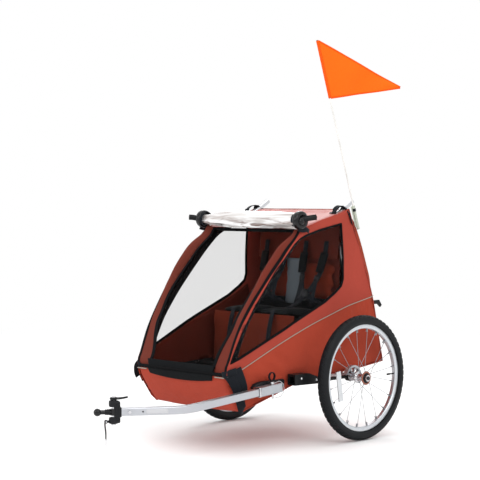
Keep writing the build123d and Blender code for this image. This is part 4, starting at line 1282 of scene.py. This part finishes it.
# ------------------------------------------------------------------ webbing at the front corners
cs = []
for sgn, nm in ((1, "left"), (-1, "right")):
    if sgn > 0:
        A = strap("cs_a", [W(254, -634, 308), W(263, -622, 292), W(268.5, -602, 262), W(268, -584, 226), W(263, -566, 190), W(256, -552, 166), W(244, -534, 158)],
                  0.036, 0.0024, lambda i, t: Vector((1, -0.4, 0)), M_WEB, 0.006)
        Bx = strap("cs_b", [W(268, -596, 324), W(271.5, -588, 304), W(272.5, -574, 272), W(269, -562, 246), W(263, -556, 232)],
                   0.044, 0.0028, lambda i, t: Vector((1, -0.22, 0)), M_WEB, 0.006)
        Cx = strap("cs_c", [W(236, -638.5, 303), W(254, -635, 306), W(265, -620, 313), W(269, -596, 318)],
                   0.022, 0.0028, lambda i, t: Vector((0.7, -1, 0)), M_WEB, 0.006)
        cs.append(join("corner_straps_left", [A, Bx, Cx]))
        continue
    A = strap("cs_a", [W(-254, -634, 308), W(-263, -622, 292), W(-268.5, -602, 262), W(-268, -590, 238)],
              0.034, 0.0024, lambda i, t: Vector((-1, -0.4, 0)), M_WEB, 0.006)
    Bx = strap("cs_b", [W(-262, -628, 318), W(-270, -626, 308), W(-277, -622, 292), W(-281, -616, 270), W(-278, -610, 252)],
               0.042, 0.003, lambda i, t: Vector((-1, -0.35, 0)), M_WEB, 0.006)
    Cx = strap("cs_c", [W(-236, -638.5, 303), W(-254, -635, 306), W(-265, -620, 313), W(-269, -596, 318)],
               0.022, 0.0028, lambda i, t: Vector((-0.7, -1, 0)), M_WEB, 0.006)
    cs.append(join("corner_straps_right", [A, Bx, Cx]))

# ------------------------------------------------------------------ wheels
wheel_pieces = []
for nm, s in (("left", 1), ("right", -1)):
    def plc(r, a, h, s=s):
        return W(s * (376 + h), r * math.cos(a), 250 + r * math.sin(a))

    prof = []
    for a in range(-128, 129, 4):
        q = math.radians(a)
        rr = 21.2
        if 58 < abs(a) < 66:
            rr += 0.5
        if 88 < abs(a) < 100:
            rr += 0.35
        prof.append((227.2 + rr * math.cos(q), rr * math.sin(q) * 0.99))
    for a in range(120, -121, -12):
        q = math.radians(a)
        prof.append((227.5 + 18.4 * math.cos(q), 18.4 * math.sin(q)))
    ty = lathe(nm + "_tyre_casing", prof, plc, M_TYRE, 160, closed=True)
    vs, fs = [], []

    def blockv(a0, a1, t0, t1, skew, h=1.9):
        b = len(vs)
        for hh, ins in ((-0.6, 0.0), (h * 0.8, 0.0), (h, 0.12)):
            for (aa, tt) in ((a0, t0), (a1, t0), (a1, t1), (a0, t1)):
                ca, ct = (a0 + a1) / 2, (t0 + t1) / 2
                aa2 = aa + (ca - aa) * ins
                tt2 = tt + (ct - tt) * ins
                al = math.radians(aa2 + skew * (tt2 - t0) / (t1 - t0) * (1 if t0 >= 0 else -1))
                q = math.radians(tt2)
                rr = 21.2 + hh
                vs.append(plc(227.2 + rr * math.cos(q), al, rr * math.sin(q)))
        for kk in (0, 1):
            for e in range(4):
                f = (e + 1) % 4
                fs.append((b + kk * 4 + e, b + kk * 4 + f, b + kk * 4 + 4 + f, b + kk * 4 + 4 + e))
        fs.append((b + 8, b + 9, b + 10, b + 11))

    N = 60
    for i in range(N):
        a = i * 360.0 / N
        p = 360.0 / N
        blockv(a, a + p * 0.78, -7, 7, 0.0, 1.5)
        blockv(a + p * 0.15, a + p * 0.80, 11, 27, p * 0.35)
        blockv(a + p * 0.15, a + p * 0.80, -27, -11, p * 0.35)
        blockv(a + p * 0.45, a + p * 1.15, 31, 50, p * 0.3)
        blockv(a + p * 0.45, a + p * 1.15, -50, -31, p * 0.3)
    tr = mesh_obj(nm + "_tread", vs, fs, M_TYRE, smooth=False)
    tyre = join(nm + "_tyre_rubber", [ty, tr])
    rp = [(196.5, -5), (197.5, -8.5), (200, -11.3), (203, -12.2), (207, -12.2), (212.5, -12.2), (214.3, -11.8), (214.3, -10), (212, -9.6), (206, -9.4), (204.6, -6),
          (204.2, 0), (204.6, 6), (206, 9.4), (212, 9.6), (214.3, 10), (214.3, 11.8), (212.5, 12.2), (207, 12.2), (203, 12.2), (200, 11.3), (197.5, 8.5), (196.5, 5), (196.2, 0)]
    rim = lathe(nm + "_rim_band", rp, plc, M_RIM, 180, closed=True)
    hp_ = [(11.2, -23), (13, -23.3), (14, -21.5), (22.6, -21.2), (23.6, -20.4), (23.8, -18.2), (23.4, -16.8), (15.5, -16.2), (14.4, -14), (14.1, 0), (14.4, 14), (15.5, 16.2), (23.4, 16.8),
           (23.8, 18.2), (23.6, 20.4), (22.6, 21.2), (20, 21.6)]
    hubp = lathe(nm + "_hub_shell", hp_, plc, M_STEEL, 56)
    seal = lathe(nm + "_hub_seal", [(23, 20.4), (26.6, 20.8), (27.6, 22.4), (26.8, 24.4), (22.5, 25.0), (20.5, 24.2), (19.5, 22.2), (16, 21.8), (13.4, 22.4), (13.2, 25.0), (11, 25.2)], plc,
                 [M_BRASS, M_BLKP], 56, fmat=lambda q: 0 if q < 5 else 1)
    nip = []
    for i in range(20):
        th = 2 * math.pi * (i + 0.5) / 20
        nip.append(lathe("np", [(0, 196.6), (2.4, 196.5), (2.4, 194.0), (1.9, 193.5), (1.9, 184), (1.2, 183.2)],
                         lambda r, a, h, th=th, i=i: W(s * (376 + (2.5 if i % 2 else -2.5) + r * math.cos(a)),
                                                      h * math.cos(th) - r * math.sin(a) * math.sin(th), 250 + h * math.sin(th) + r * math.sin(a) * math.cos(th)), M_SPOKE, 8))
    nips = join(nm + "_nipples", nip)
    for o in (tyre, rim, hubp, seal, nips):
        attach(o, nm + "_wheel")
    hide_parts(nm + "_tyre")
    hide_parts(nm + "_rim")
    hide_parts(nm + "_hub")

# ------------------------------------------------------------------ arm details
A0, Bq, C0 = W(300, -400, 241), W(300, -878, 203), W(169, -1081, 203)
d1 = (Bq - A0).normalized()
d2 = (C0 - Bq).normalized()
up1 = (Vector((0, 0, 1)) - d1 * d1.z).normalized()
PIN = A0 + d1 * 0.034
HEADC = PIN + up1 * 0.0226
# blank plate on the outer face of the arm's front run
sd = Vector((-d2.y, d2.x, 0)).normalized()
if sd.x < 0:
    sd = -sd
mp = C0 - d2 * 0.134


def plate_fn(u, v, s):
    e = (1 - abs(2 * u - 1) ** 10) * (1 - abs(2 * v - 1) ** 10)
    return mp + d2 * (0.080 * (u - 0.5)) + Vector((0, 0, 1)) * (0.017 * (v - 0.5)) + sd * (0.0140 + (0.0009 * e if s else -0.0003))


plate = pillow("arm_blank_plate", plate_fn, 12, 6, M_PLATE)
# dark discs set into the arm's front hole: painted shade inside the hollow arm
hole_shade_discs = []
for dist in (0.082,):
    for q_ in (1, -1):
        cc_ = C0 - d2 * dist
        hole_shade_discs.append(lathe("pg", [(0, 0.0118), (0.0028, 0.0118), (0.0031, 0.0122), (0.0031, 0.0105), (0, 0.0105)],
                           lambda r, a, h, cc_=cc_, q_=q_: cc_ + sd * (q_ * h) + (Vector((0, 0, 1)) * math.cos(a) + d2 * math.sin(a)) * r, M_BLKP, 20))
hole_shade_discs = join("arm_hole_shade_discs", hole_shade_discs)
# bright lip at the mouth of the receiver
mouth = A0 + d1 * 0.114
lipsec = []
rsec = [(-17.7, -15), (-17.7, 15), (-16.6, 16.6), (-15, 17.7), (15, 17.7), (16.6, 16.6), (17.7, 15), (17.7, -15), (16.6, -16.6), (15, -17.7), (-15, -17.7), (-16.6, -16.6)]
vs, fs = [], []
xx = Vector((1, 0, 0))
for i, (dd, k_) in enumerate(((-0.004, 1.0), (-0.0035, 1.03), (0.0, 1.04), (0.0035, 1.03), (0.0042, 0.985), (0.0042, 0.86))):
    for a, b in rsec:
        vs.append(mouth + d1 * dd + xx * (a * k_ / 1000) + up1 * (b * k_ / 1000))
for i in range(5):
    for j in range(12):
        r = (j + 1) % 12
        fs.append((i * 12 + j, i * 12 + r, (i + 1) * 12 + r, (i + 1) * 12 + j))
mlip = mesh_obj("receiver_lip", vs, fs, M_STEEL)
# pull loop
lc = PIN + up1 * 0.0271
loop_pts = [lc + Vector((0, -0.004, 0.002)), lc + Vector((0.001, -0.014, 0.012)), lc + Vector((0.001, -0.016, 0.024)), lc + Vector((0, -0.006, 0.0345)), lc + Vector((0, 0.006, 0.0345)),
            lc + Vector((-0.001, 0.015, 0.024)), lc + Vector((-0.001, 0.013, 0.012)), lc + Vector((0, 0.004, 0.002))]
ctr = lc + Vector((0, 0, 0.018))
lp = catmull(loop_pts, 0.003)
ploop = sweep("pin_pull_strap", lp, strap_section(0.0104, 0.0026), lambda i, t: lp[i] - ctr, M_WEB)
foot_k = lathe("pk", [(0, 0.0056), (0.0040, 0.0054), (0.0054, 0.0035), (0.0058, 0.0), (0.0052, 0.0002), (0, 0.0002)],
               lambda r, a, h: lc + up1 * h + (xx * math.cos(a) + d1 * math.sin(a)) * r, M_BLKP, 24)
ploop = join("pin_pull_strap", [ploop, foot_k])

# moulded bracket between the receiver and the side rail
bk_o = [(-345 + 0, 262), (-352, 268), (-468, 266), (-500, 258), (-512, 246), (-505, 232), (-470, 226), (-360, 232), (-345, 240)]


def rb_sec(x, grow):
    cy_ = sum(p[0] for p in bk_o) / len(bk_o)
    cz_ = sum(p[1] for p in bk_o) / len(bk_o)
    return [W(x, cy_ + (y - cy_) * grow, cz_ + (z - cz_) * grow) for y, z in bk_o]


vs, fs = [], []
for x, g_ in ((256, 0.9), (258, 1.0), (279, 1.0), (281.6, 0.97), (282.2, 0.9)):
    vs += rb_sec(x, g_)
m = len(bk_o)
for i in range(4):
    for j in range(m):
        fs.append((i * m + j, i * m + (j + 1) % m, (i + 1) * m + (j + 1) % m, (i + 1) * m + j))
fs.append(tuple(range(m - 1, -1, -1)))
fs.append(tuple(4 * m + j for j in range(m)))
rbk = bake(bevel(mesh_obj("receiver_mount", vs, fs, M_BLKC), 0.002, 3))

# hitch tether: leaf shaped rubber strap with its hook
H = C0 + d2 * 0.022
yaw = math.atan2(d2.y, d2.x) + math.pi / 2
fw = Vector((math.sin(yaw), -math.cos(yaw), 0))
rt = Vector((math.cos(yaw), math.sin(yaw), 0))


def HPt(x, y, z):
    return H + rt * (x / 1000) - fw * (y / 1000) + Vector((0, 0, z / 1000))


tp = [HPt(0, -27, -30), HPt(0, -31, -38), HPt(0.5, -31, -50), HPt(0.5, -29, -66), HPt(0, -28, -82), HPt(0, -28, -96)]
leaf = sweep("tether_leaf", catmull(tp, 0.003), lambda s: strap_section(0.013 + 0.010 * math.sin(math.pi * cl(s * 1.05)) ** 1.2, 0.0042), rt.cross(Vector((0, 0, 1))), M_BLKP)
eyes = lathe("te", [(2.7, -7.2), (5.6, -7.2), (6.2, -6.4), (6.2, 6.4), (5.6, 7.2), (2.7, 7.2)], lambda r, a, h: HPt(h, -27 + r * math.cos(a), -34 + r * math.sin(a)), M_BLKP, 24, closed=True)
hk = [HPt(-4.5, -27.5, -97), HPt(-5.6, -27.5, -106), HPt(-5.2, -27.5, -118), HPt(0, -27.5, -126), HPt(5.2, -27.5, -118), HPt(5.6, -27.5, -106), HPt(4.5, -27.5, -97)]
hook = sweep("th", catmull(hk, 0.003, True), ring(0.0016, 10), rt.cross(Vector((0, 0, 1))), M_STEEL, True)
tether = join("tether_strap", [leaf, eyes, hook])

# hitch head: two rounded lugs, a ribbed web and a collar on the arm's tip
def lug(name, z0, z1, mat, r=17.0, seg=40):
    m_ = (z0 + z1) / 2
    prof = [(5.3, z0), (r - 4, z0), (r - 1.2, z0 + 1.0), (r, z0 + 3.5), (r + 0.5, m_), (r, z1 - 3.5), (r - 1.2, z1 - 1.0), (r - 4, z1), (9.5, z1), (9.0, z1 - 1.2), (5.3, z1 - 1.2)]
    return lathe(name, prof, lambda r_, a, h: HPt(r_ * math.cos(a), r_ * math.sin(a), h), mat, seg, closed=True)


def boxy(name, x0, x1, y0, y1, z0, z1, mat, bev=0.004, taper=0.0):
    c = []
    for y in (y0, y1):
        k_ = 1.0 if y == y0 else 1.0 - taper
        for x, z in ((x0, z0), (x1, z0), (x1, z1), (x0, z1)):
            c.append(HPt(x * k_, y, z * k_))
    return bake(bevel(mesh_obj(name, c, [(0, 1, 2, 3), (7, 6, 5, 4), (0, 4, 5, 1), (1, 5, 6, 2), (2, 6, 7, 3), (3, 7, 4, 0)], mat), bev, 4))


hh = [lug("h1", 18.5, 41.5, M_BLKC), lug("h2", -41.5, -18.5, M_BLKC),
      boxy("h3", -15.5, 15.5, 3.5, 23, -39, 39, M_BLKC, 0.005, 0.0),
      boxy("h4", -18, 18, 14, 27, -18, 18, M_BLKC, 0.003),
      boxy("h5", -17.2, 17.2, 2, 20, 23, 27, M_BLKC, 0.0012), boxy("h6", -17.2, 17.2, 2, 20, 31, 35, M_BLKC, 0.0012),
      boxy("h7", -17.2, 17.2, 2, 20, -35, -31, M_BLKC, 0.0012), boxy("h8", -17.2, 17.2, 2, 20, -27, -23, M_BLKC, 0.0012),
      boxy("h9", -3, 3, -27, -10, -38.5, -29.5, M_BLKC, 0.0015)]
hh.append(lathe("h10", [(2.6, -3), (5, -3), (5.6, -2), (5.6, 2), (5, 3), (2.6, 3)], lambda r, a, h: HPt(h, -27 + r * math.cos(a), -34 + r * math.sin(a)), M_BLKC, 20, closed=True))
hitch = join("hitch_body", hh)
# lock lever: knurled knob and tapered handle
kn = []
nk = 36
vs, fs = [], []
for i in range(nk):
    a = 2 * math.pi * i / nk
    g_ = 0.7 if i % 2 else 0.0
    for r_, h in ((5.2, 43.6), (11.5, 43.6), (13.6 - g_, 44.8), (14.0 - g_, 48), (13.4 - g_, 51.4), (11, 52.8), (5.2, 52.8)):
        vs.append(HPt(r_ * math.cos(a), r_ * math.sin(a), h))
for i in range(nk):
    j = (i + 1) % nk
    for q in range(7):
        r = (q + 1) % 7
        fs.append((i * 7 + q, i * 7 + r, j * 7 + r, j * 7 + q))
kn.append(mesh_obj("k1", vs, fs, M_BLKP))
kn.append(sweep("k2", catmull([HPt(0, 9, 48), HPt(0, 20, 48.2), HPt(0, 34, 49.4), HPt(0, 44, 51.2), HPt(0, 51, 52.4)], 0.003),
                lambda s_: strap_section(0.0125 - 0.0035 * s_ + 0.003 * math.exp(-((s_ - 0.92) / 0.1) ** 2), 0.0085 - 0.002 * s_), Vector((0, 0, 1)), M_BLKG))
knob = join("lock_knob", kn)
# moulded boot round the swivel's neck
boot = lathe("swivel_boot", [(8.2, -12), (11.0, -13), (11.4, -16), (9.6, -18), (11.0, -20), (10.8, -23), (9.2, -25), (10.4, -27), (10.0, -30), (8.3, -32)],
             lambda r, a, h: HPt(r * math.cos(a), h, r * math.sin(a)), M_BLKP, 28)

# side guard detail: screws
sg = []
for sgn, nm in ((1, "left"), (-1, "right")):
    obs = []
    for yy in (-300, -215):
        zz = 268 if yy < -280 else 256
        obs.append(lathe("sc", [(0, 330.6), (3.2, 330.4), (4.6, 329.2), (4.8, 327.5)], lambda r, a, h, yy=yy, zz=zz, sgn=sgn: W(sgn * h, yy + r * math.cos(a), zz + r * math.sin(a)), M_STEEL, 18))
    sg.append(join("guard_screws_" + nm, obs))

# ------------------------------------------------------------------ bodies
for o in blended:
    tuple(B0)
    tuple(B1)
    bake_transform(o)
for o in (roof, roll, cap_l, cap_r, grab_l, grab_r, fpocket, xbar, sleeve_l, sleeve_r):
    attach(o, "roof_frame")
for o in (foot, lip, belly, bind_top, pipe_f, bind_low, hem_l, hem_r, cs[0], cs[1], rail_l, rail_r, floor_in, plate, mlip, ploop, sg[0], sg[1], rbk, xs1, xs2, hole_shade_discs, hitch):
    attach(o, "chassis")
for o in (flag, hem_t, flag_edges, cap_p):
    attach(o, "flag_unit")
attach(tether, "tether")
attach(knob, "lock_lever")
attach(boot, "hitch_swivel")
for o in pads + [bwall, header, gp, band_s, skirt, blow, har_l, har_r, buc_l, buc_r]:
    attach(o, "chassis")
    if o in (skirt, blow):
        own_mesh(o)
    else:
        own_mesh(o)

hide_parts("side_panels")
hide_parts("side_windows")
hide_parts("front_cover")
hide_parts("roof_panel")
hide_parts("rear_panel")
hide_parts("rain_cover_roll")
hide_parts("roll_end_straps")
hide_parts("grab_loops")
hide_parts("flag_pocket")
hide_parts("belly_tub")
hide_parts("seat_base")
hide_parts("seat_back")
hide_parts("harness_straps")
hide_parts("harness_buckles")
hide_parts("corner_straps")
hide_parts("pin_pull_loop")
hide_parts("safety_strap")
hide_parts("receiver_brackets")
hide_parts("roof_front_crossbar")
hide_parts("hitch_head")
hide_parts("hitch_lock_lever")
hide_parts("flag")

SL = {"coral_fabric": [bwall, es_l, es_r, sleeve_l, sleeve_r, side_l, side_r, bl, br, belly, roof, rear, rt_l, rt_r, hem_l, hem_r, header, skirt, lin_l, lin_r, pads[2], pads[3]],
      "dark_mesh": [net], "clear_film": [win_l, win_r, roll],
      "black_fabric": [wi_l, wi_r, in_l, in_r, rail_l, rail_r, xs1, xs2, rear_trim, topstrip, wb_l, wb_r, fb_l, fb_r, cb_l, cb_r, foot, lip, bind_top, bind_low, cs[0], cs[1], grab_l, grab_r, fpocket, pads[0], pads[1], gp, band_s, blow, floor_in, har_l, har_r, ploop],
      "reflector_white": [rear_pipe, pp_l, pp_r, pipe_f], "flag_orange": [flag, hem_t, flag_edges], "black_plastic": [cap_l, cap_r, buc_l, buc_r, tether, cap_p],
      "bare_aluminium": [plate, mlip], "steel": sg}
for s_, obs in SL.items():
    for o in obs:
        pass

# ------------------------------------------------------------------ flat cut sizes of the sheets


# Flat cuts. Each comes from the pattern's outline or its drawn width and length, in mm, and never from the finished mesh.
def outline_area(P):
    return abs(sum(P[i - 1][0] * P[i][1] - P[i][0] * P[i - 1][1] for i in range(len(P)))) / 2


def cut(P, holes=()):
    """width, length and area of a pattern piece from its outline"""
    ys, zs = [q[0] for q in P], [q[1] for q in P]
    return max(ys) - min(ys), max(zs) - min(zs), outline_area(P) - sum(outline_area(h) for h in holes)


def cut_strip(width, s0, s1):
    """a strip along the pillar: width is a function of the height"""
    n = 200
    ws = [width(*pilp(s0 + (s1 - s0) * (i + 0.5) / n)) for i in range(n)]
    return max(ws), (s1 - s0) * PL, sum(ws) / n * (s1 - s0) * PL


for o in (side_l, side_r):
    w, l, ar = cut(SIDE_OUT, [WIN])
for o, on in ((win_l, "side_fabric_left"), (win_r, "side_fabric_right")):
    w, l, ar = cut(WIN)
for o, on in ((lin_l, "side_fabric_left"), (lin_r, "side_fabric_right")):
    w, l, ar = cut(LIN)
for o in (bl, br):
    w, l, ar = cut_strip(lambda y, z: XS(y, z) - 1.0 - bandw(z) - xin(z) + 3, 0, 1)
w, l, ar = cut_strip(lambda y, z: 2 * (xin(z) + 3), 0.045, S_TOP)

# ------------------------------------------------------------------ finishes on the carried-over CAD parts
MATS = {
    "chassis_tubes": M_ALU, "axle_tube": M_ALUX, "axle_saddles": M_BLKP, "floor_panel": M_BLACKF, "roof_tubes": M_ALU, "pivot_knuckles": M_BLKP,
    "frame_pivot_brackets": M_CAST, "frame_pivot_bolts": M_STEEL, "roof_front_crossbar": M_BORDER, "rear_hoop_tubes": M_ALU, "hoop_feet": M_BLKP,
    "rear_hooks": M_BLKP, "side_guards": M_BLKP, "tow_arm": M_ARM, "arm_receiver": M_CAST, "receiver_brackets": M_BLKC, "tow_pin": M_STEEL,
    "pin_spring_ring": M_STEEL, "hitch_head": M_BLKC, "hitch_kingpin": M_STEEL, "hitch_fasteners": M_STEEL, "hitch_ball": M_BLKG,
    "hitch_lock_lever": M_BLKP, "flag_pole": M_POLE, "stub_axles": M_STEEL, "wheel_mounts": M_CAST,
}
for s_ in ("left", "right"):
    MATS[s_ + "_inner_tube"] = M_TUBE
    MATS[s_ + "_spokes"] = M_SPOKE
    MATS[s_ + "_hub_bearings"] = M_STEEL
    MATS[s_ + "_wheel_reflector"] = M_REFL
    MATS[s_ + "_release_button"] = M_BLKG
BEV = {"rear_hooks": 0.0018, "side_guards": 0.003, "hitch_lock_lever": 0.0015, "wheel_mounts": 0.0015, "receiver_brackets": 0.001, "axle_saddles": 0.002,
       "left_wheel_reflector": 0.002, "right_wheel_reflector": 0.002, "hitch_head": 0.001, "frame_pivot_brackets": 0.0006}
for n_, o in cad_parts.items():
    m_ = MATS.get(n_, M_BLKP)
    if not o.material_slots:
        o.data.materials.append(m_)
    for q in o.material_slots:
        q.link = "OBJECT"
        q.material = m_
    if n_ in BEV and not o.hide_render:
        bevel(o, BEV[n_], 3)

# ------------------------------------------------------------------ floor, light and camera
fm_ = NT("studio_floor")
fcol = fm_.mix(fm_.remap(fm_.noise(1.2, 3.0), 0.3, 0.7, 0.0, 1.0), (0.90, 0.90, 0.90), (0.93, 0.93, 0.93))
sep_ = fm_.n("ShaderNodeVectorMath", operation="LENGTH")
fm_.put(sep_.inputs[0], fm_.co)
em_ = fm_.n("ShaderNodeEmission")
em_.inputs[0].default_value = (1, 1, 1, 1)
em_.inputs[1].default_value = 1.0
mx_ = fm_.n("ShaderNodeMixShader")
fm_.put(mx_.inputs[0], fm_.remap(sep_.outputs["Value"], 1.6, 5.0, 0.0, 1.0))
fm_.put(mx_.inputs[1], fm_.bsdf(fcol, 0.75, Specular_IOR_Level=0.1))
fm_.put(mx_.inputs[2], em_.outputs[0])
M_FLOOR = fm_.end(mx_.outputs[0])
fl = mesh_obj("studio_floor", [Vector((x, y, -0.0005)) for x, y in ((-60, -60), (60, -60), (60, 60), (-60, 60))], [(0, 1, 2, 3)], M_FLOOR, smooth=False)

wd = bpy.data.worlds.new("studio")
scene.world = wd
wd.use_nodes = True
wd.node_tree.nodes["Background"].inputs[0].default_value = (1.0, 1.0, 1.0, 1)
wd.node_tree.nodes["Background"].inputs[1].default_value = 1.0


def area(name, loc, target, size, power, col=(1, 1, 1)):
    li = bpy.data.lights.new(name, "AREA")
    li.shape = "RECTANGLE"
    li.size, li.size_y = size
    li.energy = power
    li.color = col
    ob = bpy.data.objects.new(name, li)
    scene.collection.objects.link(ob)
    ob.location = loc
    ob.rotation_euler = (Vector(target) - Vector(loc)).to_track_quat("-Z", "Y").to_euler()
    return ob


area("key", (3.6, -1.6, 3.4), (0, 0, 0.5), (2.2, 2.2), 60)
area("fill", (-1.5, -4.2, 2.4), (0, 0, 0.5), (2.4, 1.6), 40)
area("rim", (-2.4, 3.2, 3.0), (0, 0, 0.6), (2.4, 1.6), 45)
area("top", (0.3, 0.2, 4.2), (0, 0, 0.5), (3.0, 3.0), 40)

cam = bpy.data.cameras.new("camera")
co_ = bpy.data.objects.new("camera", cam)
scene.collection.objects.link(co_)
loc = Vector((4.14966, -3.94350, 0.96563))
tgt = Vector((-0.15627, 0.28474, 0.78609))
co_.location = loc
co_.rotation_euler = (tgt - loc).to_track_quat("-Z", "Y").to_euler()
cam.sensor_width = 36
cam.lens = 108.815
cam.shift_x = 0.00296
cam.shift_y = 0.00285
cam.clip_end = 300
scene.camera = co_
scene.view_settings.view_transform = "Standard"
scene.view_settings.look = "None"
